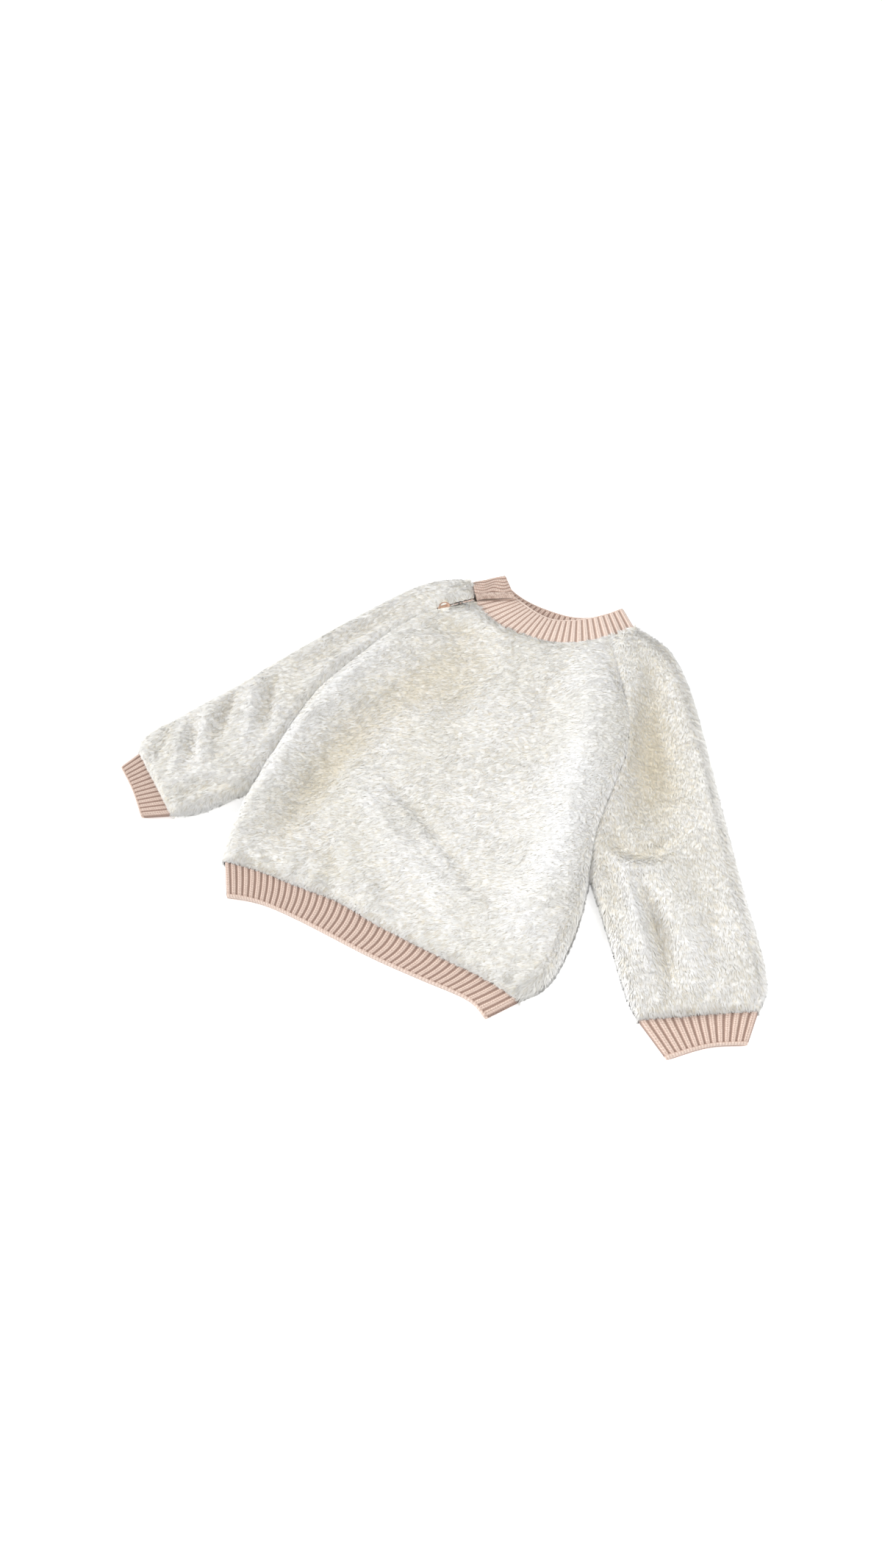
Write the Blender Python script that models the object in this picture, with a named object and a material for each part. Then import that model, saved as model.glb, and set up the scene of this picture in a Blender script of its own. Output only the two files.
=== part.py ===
"""A small child's raglan sweater, sherpa side out, lying flat on its back with the front up.

Plan tables are in millimetres: x runs from the sleeve on the left to the one on the right, y from the hem to
the neck, and z up from the surface that the sweater lies on. Each cut piece is a closed wall of its own. The
front sheets lie above the height MIDDLE and the back sheets below it, and neighbours keep a small seam gap.
"""
from collections import namedtuple

import bmesh
import bpy
import numpy as np
from mathutils import Matrix

MM = 0.001

# Walls, in millimetres. The sherpa wall includes its pile; the rib bands are folded double. The underside of a
# front sheet stays within FRONT_LIFT of its floor, so that the sheets lie on each other.
PILE_WALL = 8.8
RIB_WALL = 3.9
RIB_RELIEF = 1.0
SEAM_GAP = 0.36
MIDDLE = 9.9
BACK_TOP = 9.6
FRONT_FLOOR = 10.2
FRONT_LIFT = 5.8
BAND_MIDDLE = 4.7
BAND_BACK_TOP = 4.4
BAND_FRONT_FLOOR = 5.0
BAND_FRONT_TOP = BAND_FRONT_FLOOR + RIB_WALL
BAND_SEAM_FLOOR = 5.2
BAND_END_WALL = 0.5

# Heights at which a sheet ends in a seam, and the radii of the rolls that lead up from them.
SIDE_TOP = 10.1
RAGLAN_TOP = 15.6
NECK_FLOOR = 10.3
NECK_TOP = 15.9
HEM_TOP = 10.9
CUFF_TOP = 10.6
BACK_SIDE_TOP = 8.8
BACK_RAGLAN_BASE = 1.5
SIDE_ROLL = 13.0
RAGLAN_ROLL = 17.0
NECK_ROLL = 11.0
HEM_ROLL = 10.0
BACK_ROLL = 9.0
BACK_NECK_ROLL = 26.0
BACK_SEAM_ROLL = 3.0
INNER_ROLL = 3.5
BAND_ROLL = 4.5

# A narrow sheet limits its rolls and its wall to these shares of its width.
ROLL_LIMIT = 0.42
WALL_LIMIT = 0.3

# Plan outlines: key points of smooth curves, hem to neck or from the left to the right.
HEM_SEAM = (
    (-154, -115), (-122, -110), (-70, -107), (-40, -105), (0, -109), (50, -111), (100, -112), (135, -116),
)
HEM_FREE = (
    (-134, -142), (-118, -137), (-96, -133.5), (-60, -133), (5, -135), (50, -134), (96, -132.5), (117, -140),
)
SIDE_LEFT = ((-154, -115), (-160, -94), (-165, -70), (-168, -44))
SIDE_RIGHT = ((135, -116), (149, -97), (152, -70), (149, -36), (141, 0))
RAGLAN_LEFT = ((-168, -44), (-167, 10), (-165, 62), (-147, 113), (-127, 158), (-104, 188), (-76, 212))
RAGLAN_RIGHT = ((141, 0), (130, 40), (126, 85), (120, 125), (103, 158), (82, 187), (61, 220))
RAGLAN_BACK_LEFT = ((-168, -44), (-164, 30), (-154, 90), (-132, 150), (-108, 194), (-85, 227))
RAGLAN_BACK_RIGHT = ((141, 0), (134, 60), (122, 120), (104, 172), (86, 206), (71, 231))
NECK_FRONT = ((-76, 212), (-56, 200), (-33, 194), (-8, 193), (16, 195), (40, 205), (61, 220))
NECK_BACK = ((-85, 227), (-60, 217), (-34, 213), (-8, 212), (20, 213.5), (46, 219), (71, 231))
NECK_FREE_FRONT = ((-45, 232), (-24, 225), (-6, 221), (10, 223), (30, 233), (44, 244), (55, 257))
NECK_FREE_BACK = ((-64, 252), (-52, 242), (-30, 235), (-4, 233), (18, 235), (38, 244), (55, 257))
SLEEVE_LEFT_UNDER = ((-225, -96), (-207, -88), (-188, -69), (-168, -44))
SLEEVE_LEFT_OUTER = (
    (-293, -54), (-293, -38), (-276, -12), (-242, 40), (-209, 96), (-175, 150),
    (-140, 200), (-117, 221), (-91, 232),
)
SLEEVE_RIGHT_UNDER = ((223, -91), (211, -81), (197, -65), (178, -42), (157, -18), (141, 0))
SLEEVE_RIGHT_OUTER = (
    (301, -46), (300, -29), (288, -7), (268, 20), (238, 62), (201, 116),
    (168, 164), (140, 201), (111, 227), (77, 238),
)
CUFF_LEFT_FREE = ((-252, -110), (-276, -91), (-302, -75))
CUFF_RIGHT_FREE = ((254, -109), (278, -87), (303, -73))
TAB_FOLD = ((-89.7, 232.9), (-64, 252))
TAB_END = ((-71.9, 210.0), (-40, 226))

# Shares along each outline at which rows and columns lie; they crowd where an edge rolls down.
SIDE_SHARES = (0, 0.02, 0.06, 0.13, 0.24, 0.37, 0.5, 0.63, 0.76, 0.88, 1)
RAGLAN_SHARES = (0.03, 0.09, 0.18, 0.28, 0.39, 0.5, 0.6, 0.7, 0.79, 0.865, 0.935, 1)
ARM_SHARES = (0, 0.025, 0.07, 0.15, 0.3, 0.5, 0.75, 1)
PANEL_COLUMNS = (
    0, 0.004, 0.014, 0.032, 0.065, 0.11, 0.17, 0.23, 0.3, 0.37, 0.44,
    0.51, 0.58, 0.65, 0.72, 0.79, 0.85, 0.9, 0.94, 0.968, 0.986, 0.996, 1,
)
SLEEVE_COLUMNS = (0, 0.012, 0.04, 0.1, 0.2, 0.34, 0.5, 0.66, 0.8, 0.9, 0.96, 0.988, 1)
LEFT_ARMPIT_SHARE = 0.24
RIGHT_ARMPIT_SHARE = 0.33
ARMPIT_BLEND = 26.0
ARMPIT_STEP_BACK = 0.04
BOW_POWER = 3
EDGE_SOFTENING = 0.5

# Crown heights of the front sheets, by the share of the way from hem or cuff to neck.
FRONT_CROWN = ((0, 24.5), (0.15, 24.5), (0.35, 22), (0.7, 21.5), (1, 20.5))
SLEEVE_LEFT_CROWN = ((0, 21), (0.1, 22), (0.4, 22), (0.8, 21), (1, 18))
SLEEVE_RIGHT_CROWN = ((0, 23), (0.1, 24), (0.4, 22.5), (0.8, 21.5), (1, 18.5))

# Folds of the front sheets: the fold's line, its half width, and its rise or (negative) dip. A fold fades out
# toward its ends, from FOLD_END to the middle.
FOLD_END = 0.04
FOLD_FADE = 0.6
Fold = namedtuple("Fold", "line width rise")
FRONT_FOLDS = (
    Fold(((-96, 34), (-60, 4), (0, -31), (92, -54)), 8, -4.5),
    Fold(((-92, 8), (-62, -16), (0, -50), (84, -76)), 15, 4.5),
    Fold(((66, 186), (76, 120), (100, 40), (114, -10), (118, -96)), 19, 6.0),
    Fold(((47, 192), (42, 150), (54, 96)), 9, -2.5),
    Fold(((-112, 60), (-113, -10), (-108, -92)), 15, -4.5),
    Fold(((-150, -92), (-150, 20), (-134, 110), (-112, 168)), 12, 3.0),
    Fold(((-108, 170), (-82, 172), (-50, 181)), 9, -3.5),
    Fold(((-30, 168), (-32, 120), (-24, 60)), 16, -2.0),
    Fold(((-96, -58), (-66, -82), (-44, -100)), 9, -2.5),
)
SLEEVE_LEFT_FOLDS = (
    Fold(((-208, 66), (-200, 36), (-188, 6)), 8, -4.0),
    Fold(((-222, 58), (-212, 22), (-198, -8)), 8, 3.0),
    Fold(((-232, 30), (-223, -10), (-210, -42)), 7, -3.5),
    Fold(((-246, 12), (-236, -20), (-222, -48)), 8, 3.0),
    Fold(((-258, -8), (-252, -36), (-244, -58)), 7, -2.5),
    Fold(((-228, -74), (-200, -50), (-170, -30)), 9, 2.5),
    Fold(((-190, 120), (-176, 84), (-168, 56)), 10, -2.0),
    Fold(((-152, 70), (-142, 120), (-118, 176)), 12, -3.5),
)
SLEEVE_RIGHT_FOLDS = (
    Fold(((110, 196), (124, 150), (152, 108), (184, 62)), 15, -5.0),
    Fold(((132, 46), (160, 29), (198, 50)), 9, -3.0),
    Fold(((160, 20), (184, -8), (212, -56)), 10, 3.0),
    Fold(((178, 12), (206, -16), (240, -62)), 8, -3.5),
    Fold(((198, 16), (226, -12), (256, -50)), 11, 2.5),
    Fold(((146, 196), (182, 140), (222, 76)), 14, 1.5),
)

# Ribs: columns of one rib as shares of its pitch, with the relief that each column has.
RIB_COLUMNS = ((0, 0.0), (0.26, 1.0), (0.74, 1.0))
HEM_RIBS = 46
CUFF_RIBS = 14
NECK_RIBS = 27

# The front neckband leans from its seam down to its free edge, and settles at its right end.
NECK_LEANS = (1.0, 0.6, 0.0)
NECK_FREE_FLOOR = 6.8
NECK_END_FLOOR = 5.1
NECK_SETTLE = 26.0
NECK_BACK_END = 2.8

# The tab climbs from its fold to its end, over the placket; past its ribs it ends in a bead.
Bead = namedtuple("Bead", "share rise")
TAB_RIBS = 6
TAB_RIBBED_SHARE = 0.82
TAB_BEAD = (Bead(0.86, 1.3), Bead(0.91, 1.7), Bead(0.96, 1.2), Bead(1.0, -1.2))
TAB_END_FLOORS = (16.2, 14.4, 12.6)
TAB_CLIMB_SHARE = 0.9
TAB_LENGTH = 30.0
TAB_FOLD_WALL = 0.6
TAB_END_WALL = 2.6

# The button's profile, from the foot of its shank to the middle of its dished top.
Turn = namedtuple("Turn", "radius height")
BUTTON_CENTRE = (-97.5, 192.5)
BUTTON_PROFILE = (
    Turn(1.6, 10.2), Turn(1.6, 14.6), Turn(5.1, 14.6), Turn(5.8, 15.3),
    Turn(5.8, 16.5), Turn(5.1, 17.2), Turn(4.0, 17.2), Turn(3.5, 16.5),
)
BUTTON_SIDES = 24
BUTTONHOLE_PROFILE = (Turn(6.5, 9.9), Turn(6.5, 40.0))
PLACKET_WIDTH = 2.2
PLACKET_FLOOR = 10.3
PLACKET_TOPS = (15.0, 15.6, 15.0)
PLACKET_ROWS = 2

SHERPA_COLOUR = (0.83, 0.82, 0.78, 1)
RIB_COLOUR = (0.60, 0.39, 0.33, 1)
BUTTON_COLOUR = (0.30, 0.17, 0.10, 1)


class Path:
    """A plan line, read by its share of length from 0 to 1."""

    def __init__(self, points, curved=True):
        points = np.array(points, float)
        self.points = smoothed(points) if curved else points
        steps = np.linalg.norm(np.diff(self.points, axis=0), axis=1)
        self.length = steps.sum()
        self.shares = np.concatenate(([0.0], np.cumsum(steps))) / self.length

    def at(self, shares):
        x = np.interp(shares, self.shares, self.points[:, 0])
        y = np.interp(shares, self.shares, self.points[:, 1])
        return np.stack([x, y], axis=-1)


def smoothed(keys, steps=14):
    """Points of a Catmull-Rom curve through the key points."""
    before = 2 * keys[0] - keys[1]
    after = 2 * keys[-1] - keys[-2]
    padded = np.vstack([before, keys, after])
    t = np.linspace(0, 1, steps, endpoint=False)[:, None]
    spans = []
    for a, b, c, d in zip(padded, padded[1:], padded[2:], padded[3:]):
        bend = (2 * a - 5 * b + 4 * c - d) * t**2 + (3 * b - a - 3 * c + d) * t**3
        spans.append(0.5 * (2 * b + (c - a) * t + bend))
    return np.vstack(spans + [keys[-1:]])


def offset(points, distance):
    """The line moved to the left of its direction by a distance, or by one for each point."""
    tangent = np.gradient(points, axis=0)
    tangent /= np.linalg.norm(tangent, axis=1, keepdims=True)
    normal = np.stack([-tangent[:, 1], tangent[:, 0]], axis=1)
    return points + normal * np.reshape(distance, (-1, 1))


def smoothstep(share):
    share = np.clip(share, 0, 1)
    return share * share * (3 - 2 * share)


def roll(share):
    share = np.clip(share, 0, 1)
    return np.sqrt(1 - (1 - share) ** 2)


def puffed(crown, edges):
    """Height of a sheet that rolls up from its edges. An edge is its distance, its height and its radius."""
    weight = 0
    base = 0
    rise = 1
    for distance, height, radius in edges:
        nearness = 1 / (distance + EDGE_SOFTENING) ** 2
        weight = weight + nearness
        base = base + nearness * height
        rise = rise * roll(distance / radius)
    base = base / weight
    return base + (crown - base) * rise


def relief(plan, folds):
    """Rise or dip of the folds at each plan point; each fold fades out at both ends."""
    total = np.zeros(plan.shape[:-1])
    for fold in folds:
        line = Path(fold.line)
        away = np.linalg.norm(plan[..., None, :] - line.points, axis=-1)
        nearest = away.argmin(axis=-1)
        fade = np.sin(np.pi * np.clip(line.shares[nearest], FOLD_END, 1 - FOLD_END)) ** FOLD_FADE
        total += fold.rise * fade * np.exp(-((away.min(axis=-1) / fold.width) ** 2))
    return total


def travelled(plan):
    """Length walked along each column of a plan grid, from its first row."""
    steps = np.linalg.norm(np.diff(plan, axis=0), axis=-1)
    return np.vstack([np.zeros(plan.shape[1]), np.cumsum(steps, axis=0)])


def at_height(plan, height):
    return np.concatenate([plan, np.broadcast_to(height, plan.shape[:-1])[..., None]], axis=-1)


def rib_shares(ribs):
    """Column shares and reliefs over a number of ribs, with a valley at both ends."""
    shares = [(rib + column) / ribs for rib in range(ribs) for column, _ in RIB_COLUMNS] + [1.0]
    reliefs = [height for _ in range(ribs) for _, height in RIB_COLUMNS] + [0.0]
    return np.array(shares), np.array(reliefs) * RIB_RELIEF


def material(name, colour, roughness):
    made = bpy.data.materials.new(name)
    made.use_nodes = True
    shader = made.node_tree.nodes["Principled BSDF"]
    shader.inputs["Base Color"].default_value = colour
    shader.inputs["Roughness"].default_value = roughness
    shader.inputs["Metallic"].default_value = 0.0
    return made


def add_solid(name, vertices, faces, colour, roughness=0.95, smooth_angle=0.6):
    mesh = bpy.data.meshes.new(name)
    mesh.from_pydata((np.array(vertices) * MM).tolist(), [], faces)
    work = bmesh.new()
    work.from_mesh(mesh)
    bmesh.ops.recalc_face_normals(work, faces=work.faces)
    work.to_mesh(mesh)
    work.free()
    mesh.materials.append(material(name, colour, roughness))
    mesh.shade_smooth()
    mesh.set_sharp_from_angle(angle=smooth_angle)
    solid = bpy.data.objects.new(name, mesh)
    bpy.context.scene.collection.objects.link(solid)
    return solid


def quads(grid):
    """Faces over a grid of vertex numbers."""
    rows, columns = grid.shape
    return [
        [grid[r, c], grid[r, c + 1], grid[r + 1, c + 1], grid[r + 1, c]]
        for r in range(rows - 1)
        for c in range(columns - 1)
    ]


def plain(faces):
    return [[int(i) for i in face] for face in faces]


def add_sheet(name, outer, inner, colour):
    """A closed wall between two grids of points with the same rows and columns."""
    rows, columns = outer.shape[:2]
    upper = np.arange(rows * columns).reshape(rows, columns)
    lower = upper + rows * columns
    faces = quads(upper) + quads(lower)
    for edge in (np.s_[0, :], np.s_[-1, :], np.s_[:, 0], np.s_[:, -1]):
        faces += quads(np.stack([upper[edge], lower[edge]]))
    vertices = np.vstack([outer.reshape(-1, 3), inner.reshape(-1, 3)])
    return add_solid(name, vertices, plain(faces), colour)


def add_tube(name, front_outer, back_outer, front_inner, back_inner, open_row, colour):
    """A flattened tube. Its front and back sheets join along the last column, and along the first one up to
    open_row. Past that row the first column is a seam edge in each sheet."""
    rows, columns = front_outer.shape[:2]
    count = rows * columns
    front_out, back_out, front_in, back_in = np.arange(4 * count).reshape(4, rows, columns)
    for front, back in ((front_out, back_out), (front_in, back_in)):
        back[:, -1] = front[:, -1]
        back[: open_row + 1, 0] = front[: open_row + 1, 0]
    faces = quads(front_out) + quads(back_out) + quads(front_in) + quads(back_in)
    for outer, inner in ((front_out, front_in), (back_out, back_in)):
        faces += quads(np.stack([outer[0], inner[0]]))
        faces += quads(np.stack([outer[-1], inner[-1]]))
        faces += quads(np.stack([outer[open_row:, 0], inner[open_row:, 0]]))
    points = np.vstack([p.reshape(-1, 3) for p in (front_outer, back_outer, front_inner, back_inner)])
    used = np.unique(faces)
    return add_solid(name, points[used], plain(np.searchsorted(used, faces)), colour)


def edge_rows(side, raglan, inward):
    """One edge of a body panel from hem to neck: side seam, then raglan seam, moved inward by half a gap."""
    along_raglan = Path(raglan).at(RAGLAN_SHARES)
    rows = np.vstack([Path(side).at(SIDE_SHARES), along_raglan])
    return offset(rows, inward * np.where(np.arange(len(rows)) < len(SIDE_SHARES), 0, SEAM_GAP / 2))


def panel_plan(left, right, hem, neck):
    """Plan grid of a body panel: straight rows between its edges, bowed to the hem's and the neck's line."""
    share = np.array(PANEL_COLUMNS)[None, :, None]
    plan = left[:, None] * (1 - share) + right[:, None] * share
    progress = np.linspace(0, 1, len(left))[:, None, None]
    for line, fade in ((hem, (1 - progress) ** BOW_POWER), (neck, progress**BOW_POWER)):
        points = Path(line).at(PANEL_COLUMNS)
        chord = points[:1] * (1 - share[0]) + points[-1:] * share[0]
        plan = plan + (points - chord)[None] * fade
    return plan


def panel_edges(plan, side_height, raglan_height, hem_height, neck_height, radii):
    """Distances, heights and radii of the four edges of a body panel, for puffed()."""
    share = np.array(PANEL_COLUMNS)[None, :]
    width = np.linalg.norm(plan[:, -1] - plan[:, 0], axis=-1)[:, None]
    seam = armpit_share(plan)[:, None]
    height = side_height + (raglan_height - side_height) * seam
    side_radius = radii[0] + (radii[1] - radii[0]) * seam
    from_hem = travelled(plan)
    to_neck = from_hem[-1] - from_hem
    return (
        (share * width, height, side_radius),
        ((1 - share) * width, height, side_radius),
        (from_hem, hem_height, radii[2]),
        (to_neck, neck_height, radii[3]),
    )


def armpit_share(plan):
    """For each row of a panel, 0 along the side seam and 1 along the raglan seam, with a short blend."""
    armpit = len(SIDE_SHARES) - 1
    past = travelled(plan[:, :1])[:, 0]
    return smoothstep((past - past[armpit]) / ARMPIT_BLEND)


def inset_plan(plan, inset):
    """A panel's grid with its first and last columns moved inward by an inset for each row."""
    width = np.linalg.norm(plan[:, -1] - plan[:, 0], axis=-1)
    cut = (inset / width)[:, None]
    share = np.array(PANEL_COLUMNS)[None, :]
    moved = cut + (1 - 2 * cut) * share
    rows = [
        np.stack([np.interp(at, PANEL_COLUMNS, row[:, axis]) for axis in range(2)], axis=-1)
        for at, row in zip(moved, plan)
    ]
    return np.array(rows)


def row_progress(plan):
    walked = travelled(plan)
    return walked / walked[-1]


def crown_height(progress, table):
    shares, heights = zip(*table)
    return np.interp(progress, shares, heights)


def add_front():
    left = edge_rows(SIDE_LEFT, RAGLAN_LEFT, -1)
    left[-PLACKET_ROWS:] += placket_step(left)[-PLACKET_ROWS:]
    right = edge_rows(SIDE_RIGHT, RAGLAN_RIGHT, 1)
    plan = panel_plan(left, right, HEM_SEAM, NECK_FRONT)
    crown = crown_height(row_progress(plan), FRONT_CROWN) + relief(plan, FRONT_FOLDS)
    radii = (SIDE_ROLL, RAGLAN_ROLL, HEM_ROLL, NECK_ROLL)
    outer = puffed(crown, panel_edges(plan, SIDE_TOP, RAGLAN_TOP, HEM_TOP, NECK_TOP, radii))
    inner_plan = inset_plan(plan, PILE_WALL * (1 - armpit_share(plan)))
    inner_crown = crown_height(row_progress(inner_plan), FRONT_CROWN) + relief(inner_plan, FRONT_FOLDS)
    inner_crown = np.clip(inner_crown - PILE_WALL, FRONT_FLOOR, FRONT_FLOOR + FRONT_LIFT)
    inner_radii = (INNER_ROLL, INNER_ROLL, HEM_ROLL, NECK_ROLL)
    inner_edges = panel_edges(inner_plan, FRONT_FLOOR, FRONT_FLOOR, BAND_SEAM_FLOOR, NECK_FLOOR, inner_radii)
    inner = puffed(inner_crown, inner_edges)
    return add_sheet("front", at_height(plan, outer), at_height(inner_plan, inner), SHERPA_COLOUR), plan


def placket_step(left):
    """Room for the placket edging, across the slit."""
    return offset(left, -(PLACKET_WIDTH + SEAM_GAP)) - left


def add_back():
    left = edge_rows(SIDE_LEFT, RAGLAN_BACK_LEFT, -1)
    right = edge_rows(SIDE_RIGHT, RAGLAN_BACK_RIGHT, 1)
    plan = panel_plan(left, right, HEM_SEAM, NECK_BACK)
    radii = (BACK_ROLL, BACK_SEAM_ROLL, BACK_SEAM_ROLL, BACK_SEAM_ROLL)
    outer = puffed(0.0, panel_edges(plan, BACK_SIDE_TOP, BACK_RAGLAN_BASE, 0.0, 0.0, radii))
    inner_radii = (INNER_ROLL, INNER_ROLL, HEM_ROLL, BACK_NECK_ROLL)
    inner = puffed(BACK_TOP, panel_edges(plan, BACK_TOP, BACK_TOP, BAND_BACK_TOP, BAND_BACK_TOP, inner_radii))
    return add_sheet("back", at_height(plan, outer), at_height(plan, inner), SHERPA_COLOUR), plan


def sleeve_rows(under, raglan, outer, armpit_at, sign):
    """Inner and outer ends of a sleeve's rows, from cuff to neck."""
    raglan_rows = offset(Path(raglan).at((0,) + RAGLAN_SHARES), sign * SEAM_GAP / 2)[1:]
    under_rows = Path(under).at(ARM_SHARES)
    under_rows[-1] += (under_rows[-2] - under_rows[-1]) * ARMPIT_STEP_BACK
    inner_ends = np.vstack([under_rows, raglan_rows])
    outer_path = Path(outer)
    arm = np.array(ARM_SHARES) * armpit_at
    shoulder = armpit_at + np.array(RAGLAN_SHARES) * (1 - armpit_at)
    return inner_ends, outer_path.at(np.concatenate([arm, shoulder]))


def sleeve_plan(ends, columns, first_inset, last_inset):
    """Straight rows between the two ends, shortened by an inset at each end."""
    start, stop = ends
    width = np.linalg.norm(stop - start, axis=-1)[:, None]
    share = np.array(columns)[None, :]
    moved = np.reshape(first_inset, (-1, 1)) / width
    moved = moved + (1 - moved - np.reshape(last_inset, (-1, 1)) / width) * share
    return start[:, None] + (stop - start)[:, None] * moved[..., None]


def sleeve_edges(plan, under_height, raglan_height, cuff_height, neck_height, radii):
    """Distances, heights and radii of the four edges of one sheet of a sleeve, for puffed()."""
    share = np.array(SLEEVE_COLUMNS)[None, :]
    width = np.linalg.norm(plan[:, -1] - plan[:, 0], axis=-1)[:, None]
    seam = sleeve_seam_share(plan)[:, None]
    first_height = under_height + (raglan_height - under_height) * seam
    first_radius = radii[0] + (radii[1] - radii[0]) * seam
    from_cuff = travelled(plan)
    to_neck = from_cuff[-1] - from_cuff
    limit = ROLL_LIMIT * width
    return (
        (share * width, first_height, np.minimum(first_radius, limit)),
        ((1 - share) * width, under_height, np.minimum(radii[0], limit)),
        (from_cuff, cuff_height, radii[2]),
        (to_neck, neck_height, radii[3]),
    )


def sleeve_seam_share(plan):
    armpit = len(ARM_SHARES) - 1
    past = travelled(plan[:, :1])[:, 0]
    return smoothstep((past - past[armpit]) / ARMPIT_BLEND)


def add_sleeve(name, under, front_raglan, back_raglan, outer, armpit_at, sign, crown_table, folds):
    front_ends = sleeve_rows(under, front_raglan, outer, armpit_at, sign)
    back_ends = sleeve_rows(under, back_raglan, outer, armpit_at, sign)
    front_plan = sleeve_plan(front_ends, SLEEVE_COLUMNS, 0, 0)
    back_plan = sleeve_plan(back_ends, SLEEVE_COLUMNS, 0, 0)
    crown = crown_height(row_progress(front_plan), crown_table) + relief(front_plan, folds)
    radii = (SIDE_ROLL - 1, RAGLAN_ROLL, HEM_ROLL, NECK_ROLL)
    front = puffed(crown, sleeve_edges(front_plan, MIDDLE, RAGLAN_TOP, CUFF_TOP, NECK_TOP, radii))
    back_radii = (BACK_ROLL, BACK_SEAM_ROLL, BACK_SEAM_ROLL, BACK_SEAM_ROLL)
    back = puffed(0.0, sleeve_edges(back_plan, MIDDLE, BACK_RAGLAN_BASE, 0.0, 0.0, back_radii))
    wall = np.minimum(PILE_WALL, WALL_LIMIT * np.linalg.norm(front_ends[1] - front_ends[0], axis=-1))
    first_inset = wall * (1 - sleeve_seam_share(front_plan))
    front_inner_plan = sleeve_plan(front_ends, SLEEVE_COLUMNS, first_inset, wall)
    back_inner_plan = sleeve_plan(back_ends, SLEEVE_COLUMNS, first_inset, wall)
    inner_crown = crown_height(row_progress(front_inner_plan), crown_table) + relief(front_inner_plan, folds)
    inner_crown = np.clip(inner_crown - PILE_WALL, FRONT_FLOOR, FRONT_FLOOR + FRONT_LIFT)
    front_inner_edges = sleeve_edges(
        front_inner_plan, FRONT_FLOOR, FRONT_FLOOR, BAND_SEAM_FLOOR, NECK_FLOOR,
        (INNER_ROLL, INNER_ROLL, HEM_ROLL, NECK_ROLL),
    )
    back_inner_edges = sleeve_edges(
        back_inner_plan, BACK_TOP, BACK_TOP, BAND_BACK_TOP, BAND_BACK_TOP,
        (INNER_ROLL, INNER_ROLL, HEM_ROLL, BACK_NECK_ROLL),
    )
    front_inner = puffed(inner_crown, front_inner_edges)
    back_inner = puffed(BACK_TOP, back_inner_edges)
    solid = add_tube(
        name,
        at_height(front_plan, front),
        at_height(back_plan, back),
        at_height(front_inner_plan, front_inner),
        at_height(back_inner_plan, back_inner),
        len(ARM_SHARES) - 1,
        SHERPA_COLOUR,
    )
    return solid, front_plan, back_plan


def band_plan(seam, free, shares, rows):
    """Plan grid of a rib band from its seam line to its free line; the seam row keeps the seam gap."""
    start = Path(seam, curved=False).at(shares)
    stop = free.at(shares)
    away = (stop - start) / np.linalg.norm(stop - start, axis=-1, keepdims=True)
    start = start + away * SEAM_GAP
    across = np.linspace(0, 1, rows)[:, None, None]
    return start[None] * (1 - across) + stop[None] * across


def band_ends(plan):
    """Distances from the two ends of a band."""
    along = np.linalg.norm(np.diff(plan, axis=1), axis=-1)
    walked = np.hstack([np.zeros((len(plan), 1)), np.cumsum(along, axis=1)])
    return walked, walked[:, -1:] - walked


def between_walls(plan, wall):
    """The band's grid with its rows shortened by a wall at both ends."""
    from_first, to_last = band_ends(plan)
    width = (from_first + to_last)[:, :1]
    target = wall + (width - 2 * wall) * from_first / width
    rows = [
        np.stack([np.interp(at, walked, row[:, axis]) for axis in range(2)], axis=-1)
        for at, walked, row in zip(target, from_first, plan)
    ]
    return np.array(rows)


def add_hem_bands(hem_points):
    shares, reliefs = rib_shares(HEM_RIBS)
    plan = band_plan(hem_points, Path(HEM_FREE), shares, 3)
    from_left, to_right = band_ends(plan)
    end_top = BAND_FRONT_FLOOR + BAND_END_WALL
    top = puffed(BAND_FRONT_TOP, ((from_left, end_top, BAND_ROLL), (to_right, end_top, BAND_ROLL))) + reliefs
    add_sheet("hem_band_front", at_height(plan, top), at_height(plan, BAND_FRONT_FLOOR), RIB_COLOUR)
    back_shares = Path(hem_points, curved=False).shares
    back_plan = band_plan(hem_points, Path(HEM_FREE), back_shares, 2)
    from_left, to_right = band_ends(back_plan)
    end_base = BAND_BACK_TOP - BAND_END_WALL
    bottom = puffed(0.0, ((from_left, end_base, BAND_ROLL), (to_right, end_base, BAND_ROLL)))
    add_sheet("hem_band_back", at_height(back_plan, bottom), at_height(back_plan, BAND_BACK_TOP), RIB_COLOUR)


def add_cuff(name, seam, free):
    shares, reliefs = rib_shares(CUFF_RIBS)
    plan = band_plan(seam, Path(free), shares, 3)
    from_first, to_last = band_ends(plan)
    inner = between_walls(plan, RIB_WALL)
    ends_in = ((from_first, BAND_MIDDLE, BAND_ROLL), (to_last, BAND_MIDDLE, BAND_ROLL))
    top = puffed(BAND_FRONT_TOP, ends_in) + reliefs
    bottom = puffed(0.0, ends_in)
    add_tube(
        name,
        at_height(plan, top),
        at_height(plan, bottom),
        at_height(inner, BAND_FRONT_FLOOR),
        at_height(inner, BAND_BACK_TOP),
        2,
        RIB_COLOUR,
    )


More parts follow.
